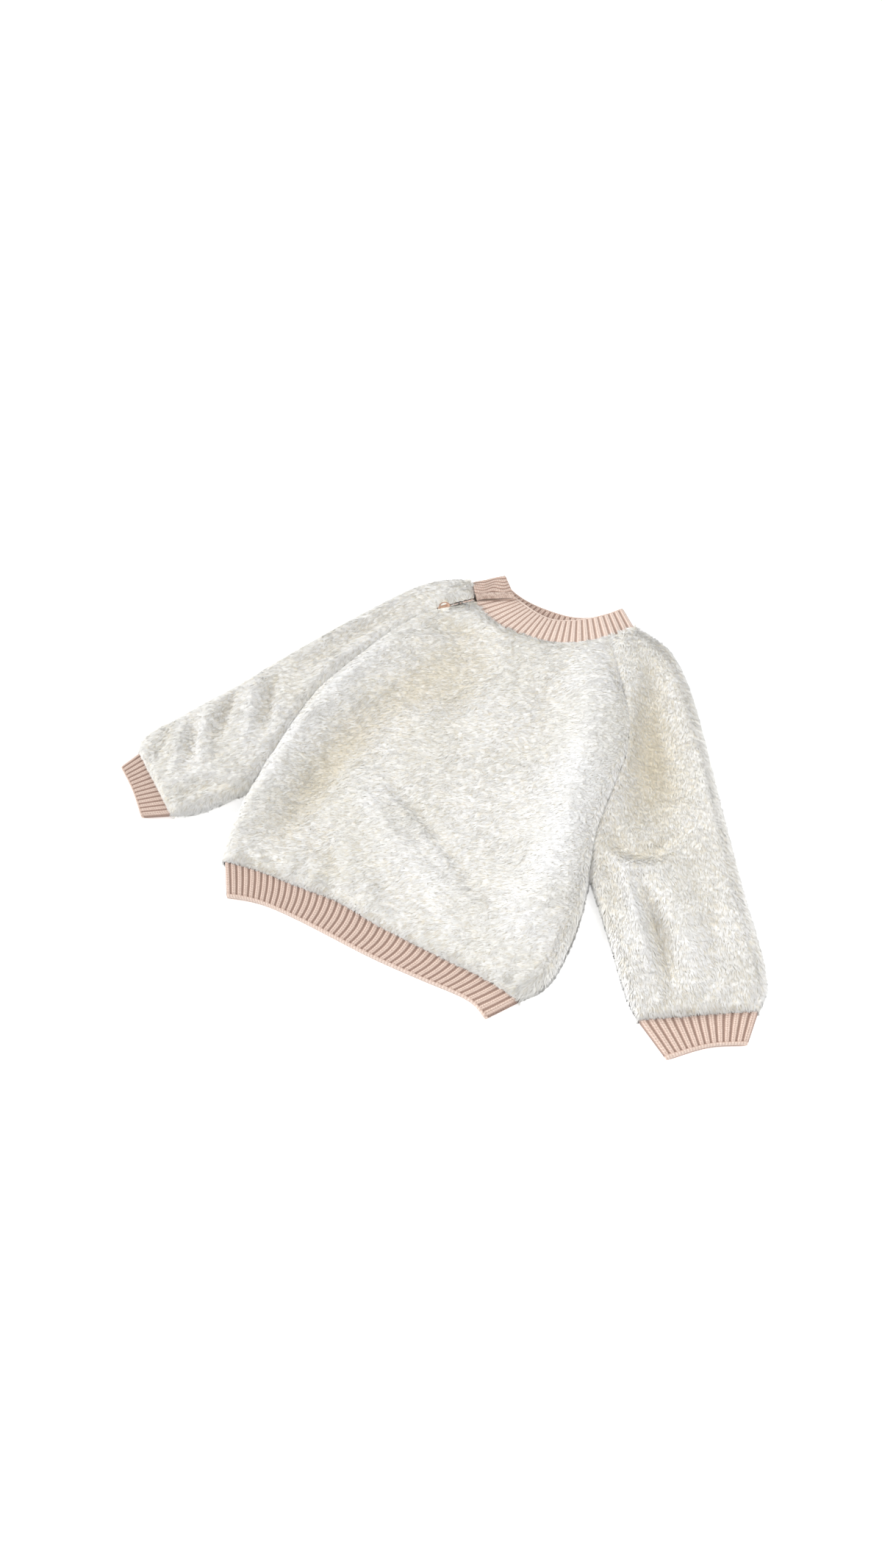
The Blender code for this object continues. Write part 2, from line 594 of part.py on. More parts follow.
def add_neckbands(front_seam, back_seam):
    shares, reliefs = rib_shares(NECK_RIBS)
    plan = band_plan(front_seam, Path(NECK_FREE_FRONT), shares, 3)
    from_left, to_right = band_ends(plan)
    leaning_floor = NECK_FREE_FLOOR + (NECK_FLOOR - NECK_FREE_FLOOR) * np.array(NECK_LEANS)[:, None]
    floor = NECK_END_FLOOR + (leaning_floor - NECK_END_FLOOR) * smoothstep(to_right / NECK_SETTLE)
    ends = ((to_right, BAND_END_WALL, BAND_ROLL), (from_left, RIB_WALL, BAND_ROLL))
    top = floor + puffed(RIB_WALL, ends) + reliefs
    add_sheet("neckband_front", at_height(plan, top), at_height(plan, floor), RIB_COLOUR)
    back_plan = band_plan(back_seam, Path(NECK_FREE_BACK), shares, 2)
    from_left, to_right = band_ends(back_plan)
    bottom = puffed(0.0, ((from_left, NECK_BACK_END, BAND_ROLL), (to_right, NECK_BACK_END, BAND_ROLL)))
    top = BAND_BACK_TOP - RIB_RELIEF + reliefs
    add_sheet("neckband_back", at_height(back_plan, bottom), at_height(back_plan, top), RIB_COLOUR)


def add_tab():
    """The back neckband's end, which turns over at the shoulder and laps the front neckband's end."""
    shares, reliefs = rib_shares(TAB_RIBS)
    bead_shares, bead_rises = zip(*TAB_BEAD)
    along = np.concatenate([shares * TAB_RIBBED_SHARE, bead_shares])
    rises = np.concatenate([reliefs, bead_rises])
    across = np.linspace(0, 1, len(TAB_END_FLOORS))
    fold_line = Path(TAB_FOLD, curved=False).at(across)
    end_line = Path(TAB_END, curved=False).at(across)
    plan = fold_line[None] * (1 - along)[:, None, None] + end_line[None] * along[:, None, None]
    climb = smoothstep(along / TAB_CLIMB_SHARE)[:, None]
    floor = BAND_SEAM_FLOOR + (np.array(TAB_END_FLOORS) - BAND_SEAM_FLOOR) * climb
    from_fold = along * TAB_LENGTH
    ends = ((from_fold, TAB_FOLD_WALL, BAND_ROLL), (TAB_LENGTH - from_fold, TAB_END_WALL, INNER_ROLL))
    top = floor + puffed(RIB_WALL, ends)[:, None] + rises[:, None]
    add_sheet("neckband_tab", at_height(plan, top), at_height(plan, floor), RIB_COLOUR)


def add_placket(raglan):
    """The narrow knit edging that shows in the slit between the buttonhole and the neck."""
    line = raglan[-PLACKET_ROWS:]
    near = offset(line, -SEAM_GAP)
    far = offset(line, -PLACKET_WIDTH)
    plan = np.stack([near, (near + far) / 2, far])
    top = np.array(PLACKET_TOPS)[:, None]
    add_sheet("placket_edge", at_height(plan, top), at_height(plan, PLACKET_FLOOR), RIB_COLOUR)


def turned(name, profile):
    """A solid of revolution about the button's upright axis. The profile runs from its base to its top."""
    turn = np.arange(BUTTON_SIDES) * 2 * np.pi / BUTTON_SIDES
    circle = np.stack([np.cos(turn), np.sin(turn)], axis=-1)
    rings = [at_height(BUTTON_CENTRE + at.radius * circle, at.height) for at in profile]
    grid = np.arange(BUTTON_SIDES * len(profile)).reshape(len(profile), BUTTON_SIDES)
    faces = quads(np.hstack([grid, grid[:, :1]]))
    faces += [grid[0], grid[-1]]
    return add_solid(name, np.vstack(rings), plain(faces), BUTTON_COLOUR, roughness=0.45)


def cut_buttonhole(solids):
    """A round clearance for the button through the front sheets that meet at the slit."""
    cutter = turned("buttonhole_cutter", BUTTONHOLE_PROFILE)
    cutter.hide_render = True
    cutter.display_type = "WIRE"
    for solid in solids:
        cut = solid.modifiers.new("buttonhole", "BOOLEAN")
        cut.operation = "DIFFERENCE"
        cut.solver = "EXACT"
        cut.object = cutter


def stand_on_origin():
    """Move everything so that the origin is the middle of the footprint, on the surface below."""
    corners = np.array(
        [v.co[:] for solid in bpy.data.objects if not solid.hide_render for v in solid.data.vertices]
    )
    low, high = corners.min(axis=0), corners.max(axis=0)
    move = Matrix.Translation((-(low[0] + high[0]) / 2, -(low[1] + high[1]) / 2, -low[2]))
    for solid in bpy.data.objects:
        solid.data.transform(move)


def build():
    for old in list(bpy.data.objects):
        bpy.data.objects.remove(old)
    front, front_plan = add_front()
    back_plan = add_back()[1]
    left, left_front, left_back = add_sleeve(
        "sleeve_left", SLEEVE_LEFT_UNDER, RAGLAN_LEFT, RAGLAN_BACK_LEFT, SLEEVE_LEFT_OUTER,
        LEFT_ARMPIT_SHARE, 1, SLEEVE_LEFT_CROWN, SLEEVE_LEFT_FOLDS,
    )
    _, right_front, right_back = add_sleeve(
        "sleeve_right", SLEEVE_RIGHT_UNDER, RAGLAN_RIGHT, RAGLAN_BACK_RIGHT, SLEEVE_RIGHT_OUTER,
        RIGHT_ARMPIT_SHARE, -1, SLEEVE_RIGHT_CROWN, SLEEVE_RIGHT_FOLDS,
    )
    add_hem_bands(front_plan[0])
    add_cuff("cuff_left", left_front[0], CUFF_LEFT_FREE)
    add_cuff("cuff_right", right_front[0], CUFF_RIGHT_FREE)
    add_neckbands(
        np.vstack([front_plan[-1], right_front[-1]]),
        np.vstack([left_back[-1][::-1], back_plan[-1], right_back[-1]]),
    )
    add_tab()
    add_placket(Path(RAGLAN_LEFT).at(RAGLAN_SHARES))
    turned("button", BUTTON_PROFILE)
    cut_buttonhole((front, left))
    stand_on_origin()


build()
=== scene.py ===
"""The looks of a small child's raglan sweater, sherpa side out, lying flat on its back with the front up.

Plan tables are in millimetres of the garment's own frame: x runs from the sleeve on the left to the one on
the right, y from the hem to the neck, and z up from the surface that the sweater lies on. Each sherpa panel
is a thin knit ground inside the space of its solid, with a pile of single tufts that reaches the solid's
outer surface.
"""
from collections import namedtuple

import bmesh
import bpy
import numpy as np
from mathutils import Matrix, Vector


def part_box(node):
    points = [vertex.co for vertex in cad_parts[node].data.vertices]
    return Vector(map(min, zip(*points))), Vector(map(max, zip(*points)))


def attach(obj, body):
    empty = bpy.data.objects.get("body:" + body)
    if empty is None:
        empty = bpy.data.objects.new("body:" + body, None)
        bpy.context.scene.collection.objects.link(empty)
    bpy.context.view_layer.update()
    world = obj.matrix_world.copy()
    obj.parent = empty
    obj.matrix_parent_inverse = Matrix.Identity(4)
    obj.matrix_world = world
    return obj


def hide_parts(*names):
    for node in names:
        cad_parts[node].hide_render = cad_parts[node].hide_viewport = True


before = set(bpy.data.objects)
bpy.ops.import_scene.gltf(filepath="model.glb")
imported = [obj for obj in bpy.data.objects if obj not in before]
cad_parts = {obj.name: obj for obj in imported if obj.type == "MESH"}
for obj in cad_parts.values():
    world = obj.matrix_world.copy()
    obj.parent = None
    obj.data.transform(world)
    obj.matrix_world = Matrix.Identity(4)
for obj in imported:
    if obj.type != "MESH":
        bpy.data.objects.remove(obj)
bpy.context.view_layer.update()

MM = 0.001

# Heights and radii of the sheets, in millimetres, as on the solids. Only the raglan seam on the right stands
# higher, so that the roll beside it comes close to the seam.
RIB_WALL = 3.9
RIB_RELIEF = 1.0
SEAM_GAP = 0.36
MIDDLE = 9.9
BAND_MIDDLE = 4.7
BAND_BACK_TOP = 4.4
BAND_FRONT_FLOOR = 5.0
BAND_FRONT_TOP = BAND_FRONT_FLOOR + RIB_WALL
BAND_SEAM_FLOOR = 5.2
BAND_END_WALL = 0.5
SIDE_TOP = 10.1
RAGLAN_TOP = 15.6
RIGHT_RAGLAN_TOP = 17.8
NECK_FLOOR = 10.3
NECK_TOP = 15.9
HEM_TOP = 10.9
CUFF_TOP = 10.6
BACK_SIDE_TOP = 8.8
BACK_RAGLAN_BASE = 1.5
SIDE_ROLL = 13.0
SLEEVE_SIDE_ROLL = 12.0
RAGLAN_ROLL = 17.0
NECK_ROLL = 11.0
HEM_ROLL = 10.0
BACK_ROLL = 9.0
BACK_SEAM_ROLL = 3.0
BAND_ROLL = 4.5
ROLL_LIMIT = 0.42

# Plan outlines: key points of smooth curves, hem to neck or from the left to the right.
HEM_SEAM = (
    (-154, -115), (-122, -110), (-70, -107), (-40, -105), (0, -109), (50, -111), (100, -112), (135, -116),
)
HEM_FREE = (
    (-134, -142), (-118, -137), (-96, -133.5), (-60, -133), (5, -135), (50, -134), (96, -132.5), (117, -140),
)
SIDE_LEFT = ((-154, -115), (-160, -94), (-165, -70), (-168, -44))
SIDE_RIGHT = ((135, -116), (149, -97), (152, -70), (149, -36), (141, 0))
RAGLAN_LEFT = ((-168, -44), (-167, 10), (-165, 62), (-147, 113), (-127, 158), (-104, 188), (-76, 212))
RAGLAN_RIGHT = ((141, 0), (130, 40), (126, 85), (120, 125), (103, 158), (82, 187), (61, 220))
RAGLAN_BACK_LEFT = ((-168, -44), (-164, 30), (-154, 90), (-132, 150), (-108, 194), (-85, 227))
RAGLAN_BACK_RIGHT = ((141, 0), (134, 60), (122, 120), (104, 172), (86, 206), (71, 231))
NECK_FRONT = ((-76, 212), (-56, 200), (-33, 194), (-8, 193), (16, 195), (40, 205), (61, 220))
NECK_BACK = ((-85, 227), (-60, 217), (-34, 213), (-8, 212), (20, 213.5), (46, 219), (71, 231))
NECK_FREE_FRONT = ((-45, 232), (-24, 225), (-6, 221), (10, 223), (30, 233), (44, 244), (55, 257))
NECK_FREE_BACK = ((-64, 252), (-52, 242), (-30, 235), (-4, 233), (18, 235), (38, 244), (55, 257))
SLEEVE_LEFT_UNDER = ((-225, -96), (-207, -88), (-188, -69), (-168, -44))
SLEEVE_LEFT_OUTER = (
    (-293, -54), (-293, -38), (-276, -12), (-242, 40), (-209, 96), (-175, 150),
    (-140, 200), (-117, 221), (-91, 232),
)
SLEEVE_RIGHT_UNDER = ((223, -91), (211, -81), (197, -65), (178, -42), (157, -18), (141, 0))
SLEEVE_RIGHT_OUTER = (
    (301, -46), (300, -29), (288, -7), (268, 20), (238, 62), (201, 116),
    (168, 164), (140, 201), (111, 227), (77, 238),
)
CUFF_LEFT_FREE = ((-252, -110), (-276, -91), (-302, -75))
CUFF_RIGHT_FREE = ((254, -109), (278, -87), (303, -73))
TAB_FOLD = ((-89.7, 232.9), (-64, 252))
TAB_END = ((-71.9, 210.0), (-40, 226))

# Shares along each outline at which rows and columns lie; they crowd where an edge rolls down.
SIDE_SHARES = (0, 0.02, 0.06, 0.13, 0.24, 0.37, 0.5, 0.63, 0.76, 0.88, 1)
RAGLAN_SHARES = (0.03, 0.09, 0.18, 0.28, 0.39, 0.5, 0.6, 0.7, 0.79, 0.865, 0.935, 1)
ARM_SHARES = (0, 0.025, 0.07, 0.15, 0.3, 0.5, 0.75, 1)
PANEL_COLUMNS = (
    0, 0.004, 0.014, 0.032, 0.065, 0.11, 0.17, 0.23, 0.3, 0.37, 0.44,
    0.51, 0.58, 0.65, 0.72, 0.79, 0.85, 0.9, 0.94, 0.968, 0.986, 0.996, 1,
)
SLEEVE_COLUMNS = (0, 0.012, 0.04, 0.1, 0.2, 0.34, 0.5, 0.66, 0.8, 0.9, 0.96, 0.988, 1)
LEFT_ARMPIT_SHARE = 0.24
RIGHT_ARMPIT_SHARE = 0.33
ARMPIT_BLEND = 26.0
ARMPIT_STEP_BACK = 0.04
BOW_POWER = 3
EDGE_SOFTENING = 0.5
FLAT_CROWN = 0.0
FINER = 4

# Crown heights of the front sheets, by the share of the way from hem or cuff to neck.
FRONT_CROWN = ((0, 24.5), (0.15, 24.5), (0.35, 22), (0.7, 21.5), (1, 20.5))
SLEEVE_LEFT_CROWN = ((0, 21), (0.1, 22), (0.4, 22), (0.8, 21), (1, 18))
SLEEVE_RIGHT_CROWN = ((0, 23), (0.1, 24), (0.4, 22.5), (0.8, 21.5), (1, 18.5))

# Folds of the front sheets: the fold's line, its half width, and its rise or (negative) dip. Each table ends
# with the creases that are too narrow for the solids. A fold fades out at both ends of its line.
FOLD_END = 0.04
FOLD_FADE = 0.6
Fold = namedtuple("Fold", "line width rise")
FRONT_FOLDS = (
    Fold(((-96, 34), (-60, 4), (0, -31), (92, -54)), 8, -1.2),
    Fold(((-96, 14), (-62, -8), (0, -42), (84, -72)), 15, 3.6),
    Fold(((58, 192), (88, 122), (104, 40), (113, -10), (117, -98)), 26, 6.6),
    Fold(((40, 190), (38, 150), (44, 96)), 9, -2.0),
    Fold(((-112, 60), (-113, -10), (-108, -92)), 15, -4.5),
    Fold(((-150, -92), (-150, 20), (-134, 110), (-112, 168)), 12, 3.0),
    Fold(((-108, 170), (-82, 172), (-50, 181)), 9, -3.5),
    Fold(((-30, 168), (-32, 120), (-24, 60)), 16, -2.0),
    Fold(((-96, -58), (-66, -82), (-44, -100)), 9, -2.5),
    Fold(((-92, 36), (-40, 6), (10, -18), (86, -58)), 3.6, -2.6),
    Fold(((-88, 22), (-47, -1), (4, -26), (70, -60)), 5, 1.8),
    Fold(((-60, 156), (-88, 96), (-103, 34), (-110, -10), (-120, -66)), 19, -6.8),
    Fold(((-152, -80), (-158, 10), (-146, 84), (-118, 150)), 8, 3.0),
    Fold(((-100, 181), (-73, 177), (-44, 180)), 5, -2.8),
    Fold(((-36, 178), (-54, 132), (-70, 76)), 25, -6.2),
    Fold(((-97, -41), (-70, -66), (-45, -87)), 4.5, -2.0),
    Fold(((-40, -60), (10, -84), (50, -96)), 5, -1.4),
    Fold(((66, 172), (92, 100), (108, 30), (116, -64)), 13, 2.6),
    Fold(((36, -70), (70, -90), (96, -104)), 5, 1.4),
)
SLEEVE_LEFT_FOLDS = (
    Fold(((-118, 196), (-134, 177), (-150, 152), (-166, 123), (-182, 94), (-192, 62)), 9, -4.4),
    Fold(((-140, 146), (-156, 110), (-172, 74)), 6, 1.8),
    Fold(((-210, 66), (-198, 36), (-185, 6)), 6, -4.2),
    Fold(((-224, 56), (-208, 23), (-194, -10)), 5.5, 3.4),
    Fold(((-238, 46), (-231, 16), (-220, -20)), 6.5, -3.8),
    Fold(((-250, 14), (-236, -18), (-216, -44)), 5.5, 3.2),
    Fold(((-258, 0), (-243, -29), (-230, -54)), 5.5, -3.4),
    Fold(((-262, -18), (-250, -41), (-243, -60)), 5, 2.6),
    Fold(((-274, -24), (-267, -44), (-262, -62)), 6, -1.8),
    Fold(((-240, -74), (-211, -50), (-163, -36)), 5.5, 3.4),
    Fold(((-234, -86), (-200, -60), (-160, -48)), 5, -2.6),
)
SLEEVE_RIGHT_FOLDS = (
    Fold(((110, 196), (124, 150), (152, 108), (184, 62)), 15, -5.0),
    Fold(((132, 46), (160, 29), (198, 50)), 9, -3.0),
    Fold(((160, 20), (184, -8), (212, -56)), 10, 3.0),
    Fold(((178, 12), (206, -16), (240, -62)), 8, -3.5),
    Fold(((198, 16), (226, -12), (256, -50)), 11, 2.5),
    Fold(((146, 196), (182, 140), (222, 76)), 14, 1.5),
    Fold(((110, 200), (128, 156), (144, 118), (152, 84)), 10, -6.0),
    Fold(((132, 154), (150, 104), (162, 46)), 24, -7.0),
    Fold(((100, 168), (108, 124), (118, 84)), 8, 2.8),
    Fold(((132, 50), (156, 34), (180, 40), (194, 70)), 5, -3.0),
    Fold(((120, 36), (158, 20), (204, 34)), 7, 2.4),
    Fold(((168, 10), (192, -20), (214, -48)), 5, 3.2),
    Fold(((180, 14), (206, -18), (230, -46), (238, -74)), 5, -3.8),
    Fold(((130, 42), (152, 10), (178, -28)), 9, -3.4),
    Fold(((214, 40), (240, 8), (262, -26)), 6, -1.4),
    Fold(((226, -78), (250, -66), (268, -62)), 5, -1.6),
    Fold(((176, 150), (204, 108), (228, 66)), 10, 2.6),
)

# Unevenness of the front sheets' crown: seed and cell of each noise, and its rise. Beside the hem, cuff or
# neck seam the cloth is gathered besides. No trough goes far below the lowest crown.
CROWN_NOISES = ((3, 34, 0.6), (4, 11, 0.25))
GATHER_NOISE = (6, 9, 2.6)
GATHERED = 20.0
LOWEST_CROWN = 15.0

# The ground: how deep it lies under the outer surface, in full and at the seams, and its own thickness.
GROUND_DEPTH = 2.3
SEAM_DEPTH_SHARE = 0.25
GROUND_EDGE = 7.0
GROUND_WALL = 1.7
GROUND_LEAST = 0.6
BACK_DEPTH_SHARE = 0.6
BACK_DEPTH_LEAST = 0.4
BACK_RIM_START = 0.6
BACK_RIM_FADE = 1.6
BACK_STEP = 4
SLEEVE_BACK_STEP = 2

# The pile: how many tufts, their seeds and their comb in plan; a tuft's sizes, and how it leans and rises.
FRONT_TUFTS = 66000
BACK_TUFTS = 9000
SLEEVE_TUFTS = (47000, 8000)
FRONT_SEEDS = (20, 40)
BACK_SEED = 61
LEFT_SEED = 81
RIGHT_SEED = 101
FRONT_COMB = (-0.7, -0.7)
BACK_COMB = (0.0, -1.0)
LEFT_COMB = (-0.55, -0.85)
RIGHT_COMB = (0.6, -0.8)
TUFT_LENGTH = 4.6
TUFT_WIDTH = 0.86
TUFT_SPREAD = (0.7, 1.15)
TUFT_RISE = 0.36
TUFT_LOWEST = 0.25
CLUMP_SEED = 5
CLUMP = 2.0
CLUMP_LEAN = 0.7
CLUMP_RISE = 0.16
SWIRL_SEED = 1
SWIRL = 17.0
SWIRL_LEAN = 0.4
STRAY_LEAN = 0.18
STRAY_RISE = 0.08
NUB_SEED = 9
NUB = 1.9
NUB_RISE = 0.35
OVERHANG = 3.0
OVERHANG_LEAN = 1.4
OVERHANG_NOISE = (8, 7)
PARTING = 7.0
PARTING_LEAN = 2.0
SLIT_CLEARANCE = 1.5
BUTTON_CLEARANCE = 5.0

# How light a tuft is, from 0 to 1: at its side, back, other side and tip, and what moves all of these. The
# sides and back are painted shade, the tip painted light.
TUFT_PAINTED_SHADES = (0.2, 0.36, 0.2, 0.84)
TONE_SPREAD = 0.12
# Painted shade where the nubs dip, and painted light where they rise.
NUB_PAINTED_SHADE = 0.32
# Painted shade in the folds' hollows and painted light on their ridges, by millimetre of relief.
FOLD_PAINTED_SHADE = 0.055
# Painted light on the steep rims of the pile.
RIM_PAINTED_LIGHT = 0.3
# Painted shade along the hem or cuff seam: its width, its depth, and a mottle with its noise.
SEAM_SHADE = 6.0
SEAM_PAINTED_SHADE = 0.16
SEAM_SHADE_MOTTLE = 0.2
SEAM_NOISE = (12, 6)

# How far a tuft's normals turn from the cloth's: with its clump, sideways, to its tip, and up at the rims.
CLUMP_TURN = 0.22
SIDE_TURN = 0.2
TIP_TURN = 0.1
RIM_LIFT = 0.9

# Rib knit: samples across a rib, rows and stitches along it, in millimetres. The hem's back is made coarser.
RIB_SAMPLES = 8
ROW_STEP = 0.62
COARSE_SAMPLES = 6
COARSE_STEP = 2.4
STITCH = 1.9
HEM_RIBS = 46
HEM_BEND = 0.35
HEM_SKEW = 0.02
CUFF_RIBS = 14
NECK_RIBS = 27
NECK_SKEW = 0.06
RIB_SINK = 1.2
INSIDE_SHADE = 0.5

# A rib, in shares of its width, and what its parts add to its relief and to its shade: the ridge, its
# strands, the dip along its middle, the valley, and the purl bumps in the valley. The shade is painted:
# light on the ridge and its strands, and dark in the dip and the valley, where shade falls.
RIDGE = 0.17
RIDGE_SIDE = 0.25
RIDGE_DIP = 0.085
STRAND_SLOPE = 1.5
RIB_PARTS = ((0.80, 0.30, 0.22, 0.0, 0.12), (0.62, 0.38, 0.42, 0.02, 0.14))

# The bound-off edge: distance from the free edge and width of its bead, its groove and its start, and what
# the bead, its chain and the groove add to the relief and to the shade. The shade is painted: light and
# dark along the chain, and dark in the groove.
BEAD = (1.0, 0.75)
GROOVE = (2.3, 0.45)
BOUND_OFF = (2.6, 1.0)
BOUND_OFF_PARTS = ((0.45, 0.35, 0.35), (0.55, 0.35, 0.25))
BAND_EDGE = 1.6
BAND_EDGE_LEAST = 0.12

NECK_LEANS = (1.0, 0.6, 0.0)
NECK_FREE_FLOOR = 6.8
NECK_END_FLOOR = 5.1
NECK_SETTLE = 26.0
NECK_BACK_END = 2.8
# What the front neckband's shade is raised by: painted light.
NECK_PAINTED_LIGHT = 0.2

# The tab: its ribs, the sway of its ribs across it, and its rolled end with a twist and flecks.
TAB_RIBS = 5
TAB_COLUMNS = 8
TAB_RIBBED_SHARE = 0.82
TAB_END_FLOORS = (16.2, 14.4, 12.6)
TAB_CLIMB_SHARE = 0.9
TAB_LENGTH = 30.0
TAB_RELIEF = 1.7
TAB_SWAY = 0.3
TAB_SWAY_LENGTH = 19
TAB_SWAY_SLOPE = 3
TAB_CROWN = 1.3
TAB_BEAD_START = 0.05
TAB_BEAD = (2.0, 1.1)
# The bead's shade: a level, painted light and shade with its twist, and flecks of colour.
TAB_BEAD_SHADES = (0.42, 0.4, 0.3)
TAB_FLECKS = (31, 1.1)
TAB_FOLD_WALL = 0.6
TAB_END_WALL = 0.2
TAB_END_ROLL = 2.4

BUTTON_CENTRE = (-97.5, 192.5)
BUTTON_SIDES = 48
BUTTON_STEPS = 5
BUTTON_PROFILE = (
    (0.4, 10.4), (1.6, 10.6), (1.6, 14.2), (2.4, 14.6), (4.9, 14.7), (5.7, 15.2), (5.8, 16.3), (5.3, 17.1),
    (4.5, 17.0), (4.0, 16.5), (2.2, 16.3), (0.4, 16.3),
)

# The slit lies beside the left raglan seam, between shares of its length, and the placket's cord lies in it.
SLIT_START = 0.88
SLIT_STOP = 0.998
SLIT_ASIDE = -1.3
SLIT_POINTS = 14
PLACKET_START = 0.865
PLACKET_POINTS = 90
PLACKET_SIDES = 12
PLACKET_ROWS = 2
PLACKET_WIDTH = 2.56
PLACKET_RADIUS = 1.15
PLACKET_HEIGHT = 14.9
PLACKET_TWIST = 2
PLACKET_RELIEF = 0.16
PLACKET_END = 1.5
PLACKET_END_LEAST = 0.02
# The cord's shade: a level, and painted light and shade with its strands.
PLACKET_SHADES = (0.55, 0.3)

# The photograph's camera and light: a plan point that it looks at, angles in degrees, metres and watts.
CAMERA_AIM = (-17.0, 31.4)
CAMERA_DISTANCE = 1.0
CAMERA_ELEVATION = np.radians(60)
CAMERA_TURN = np.radians(45.97)
CAMERA_ROLL = np.radians(20)
SENSOR_WIDTH = 36.0
FOCAL_PIXELS = 1550
PHOTO_HEIGHT = 2133
FLOOR_HALF = 6.0
FLOOR_GLOW = 0.45
WORLD_LEVEL = 0.52
LIGHTS = (
    ("key", (-0.76, -0.26, 0.42), 4.0, 1.8, 140.0),
    ("fill", (0.62, -0.05, 0.88), 0.85, 0.6, 3.3),
    ("rim", (0.90, 0.22, 0.30), 4.0, 2.2, 26.0),
)


# ---- lines and sheets

class Path:
    """A plan line, read by its share of length from 0 to 1."""

    def __init__(self, points, curved=True):
        points = np.array(points, float)
        self.points = smoothed(points, 14) if curved else points
        steps = np.linalg.norm(np.diff(self.points, axis=0), axis=1)
        self.length = steps.sum()
        self.shares = np.concatenate(([0.0], np.cumsum(steps))) / self.length

    def at(self, shares):
        axes = range(self.points.shape[1])
        return np.stack([np.interp(shares, self.shares, self.points[:, axis]) for axis in axes], axis=-1)


def smoothed(keys, steps):
    """Points of a Catmull-Rom curve through the key points, along their first axis."""
    padded = np.concatenate([2 * keys[:1] - keys[1:2], keys, 2 * keys[-1:] - keys[-2:-1]])
    t = np.linspace(0, 1, steps, endpoint=False).reshape([-1] + [1] * (keys.ndim - 1))
    spans = []
    for a, b, c, d in zip(padded, padded[1:], padded[2:], padded[3:]):
        bend = (2 * a - 5 * b + 4 * c - d) * t**2 + (3 * b - a - 3 * c + d) * t**3
        spans.append(0.5 * (2 * b + (c - a) * t + bend))
    return np.concatenate(spans + [keys[-1:]])


def refined(grid, steps):
    """A finer grid through the same points, smooth both ways."""
    return smoothed(smoothed(grid, steps).swapaxes(0, 1), steps).swapaxes(0, 1)


def offset(points, distance):
    """The line moved to the left of its direction by a distance, or by one for each point."""
    tangent = np.gradient(points, axis=0)
    tangent /= np.linalg.norm(tangent, axis=1, keepdims=True)
    normal = np.stack([-tangent[:, 1], tangent[:, 0]], axis=1)
    return points + normal * np.reshape(distance, (-1, 1))


def smoothstep(share):
    share = np.clip(share, 0, 1)
    return share * share * (3 - 2 * share)


def roll(share):
    share = np.clip(share, 0, 1)
    return np.sqrt(1 - (1 - share) ** 2)


def bell(distance, width):
    """1 at no distance, falling to nearly 0 at two widths."""
    return np.exp(-((distance / width) ** 2))


def ripple(turns):
    """A wave from 0 to 1 with a crest at each whole turn."""
    return 0.5 + 0.5 * np.cos(2 * np.pi * turns)


def unit(vectors):
    return vectors / np.maximum(np.linalg.norm(vectors, axis=-1, keepdims=True), 1e-9)


def puffed(crown, edges):
    """Height of a sheet that rolls up from its edges. An edge is its distance, its height and its radius."""
    weight = 0
    base = 0
    rise = 1
    for distance, height, radius in edges:
        nearness = 1 / (distance + EDGE_SOFTENING) ** 2
        weight = weight + nearness
        base = base + nearness * height
        rise = rise * roll(distance / radius)
    base = base / weight
    return base + (crown - base) * rise


def relief(plan, folds):
    """Rise or dip of the folds at each plan point; each fold fades out at both ends."""
    total = np.zeros(plan.shape[:-1])
    for fold in folds:
        line = Path(fold.line)
        away = np.linalg.norm(plan[..., None, :] - line.points, axis=-1)
        nearest = away.argmin(axis=-1)
        fade = np.sin(np.pi * np.clip(line.shares[nearest], FOLD_END, 1 - FOLD_END)) ** FOLD_FADE
        total += fold.rise * fade * bell(away.min(axis=-1), fold.width)
    return total


def travelled(plan):
    """Length walked along each column of a plan grid, from its first row."""
    steps = np.linalg.norm(np.diff(plan, axis=0), axis=-1)
    return np.vstack([np.zeros(plan.shape[1]), np.cumsum(steps, axis=0)])


def at_height(plan, height):
    return np.concatenate([plan, np.broadcast_to(height, plan.shape[:-1])[..., None]], axis=-1)


def down_rows(plan, values):
    """Values for a grid's rows, spread evenly from its first row to its last."""
    return np.interp(np.linspace(0, 1, len(plan))[:, None], np.linspace(0, 1, len(values)), values)


class Noise:
    """Smooth noise from -1 to 1 over points in space, from a seeded lattice that repeats."""

    def __init__(self, seed, cell, size=64):
        self.lattice = np.random.default_rng(seed).uniform(-1, 1, (size, size, size))
        self.cell = cell
        self.size = size

    def at(self, points):
        places = points / self.cell
        low = np.floor(places).astype(int)
        share = smoothstep(places - low)
        total = 0
        for corner in np.ndindex(2, 2, 2):
            weight = np.prod(np.where(corner, share, 1 - share), axis=-1)
            index = tuple(((low + corner) % self.size)[..., axis] for axis in range(3))
            total = total + weight * self.lattice[index]
        return total


def drift(seed, cell, points):
    """A vector at each point, which wanders over the space between them."""
    return np.stack([Noise(seed + axis, cell).at(points) for axis in range(3)], axis=-1)


def tangent(vectors, normal):
    """The vectors laid along the surface, as unit vectors."""
    return unit(vectors - normal * (vectors * normal).sum(axis=-1, keepdims=True))


def grid_normals(points, way):
    """Unit normals of a grid that mostly point up, for a way of 1, or down, for -1."""
    normals = unit(np.cross(np.gradient(points, axis=1), np.gradient(points, axis=0)))
    return normals * (way * np.sign(normals[..., 2].mean()))


# ---- meshes

BUTTON_MIDDLE = np.array(sum(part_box("button"), Vector())) / 2
FRAME_SHIFT = np.append(BUTTON_MIDDLE[:2] - np.array(BUTTON_CENTRE) * MM, 0.0)


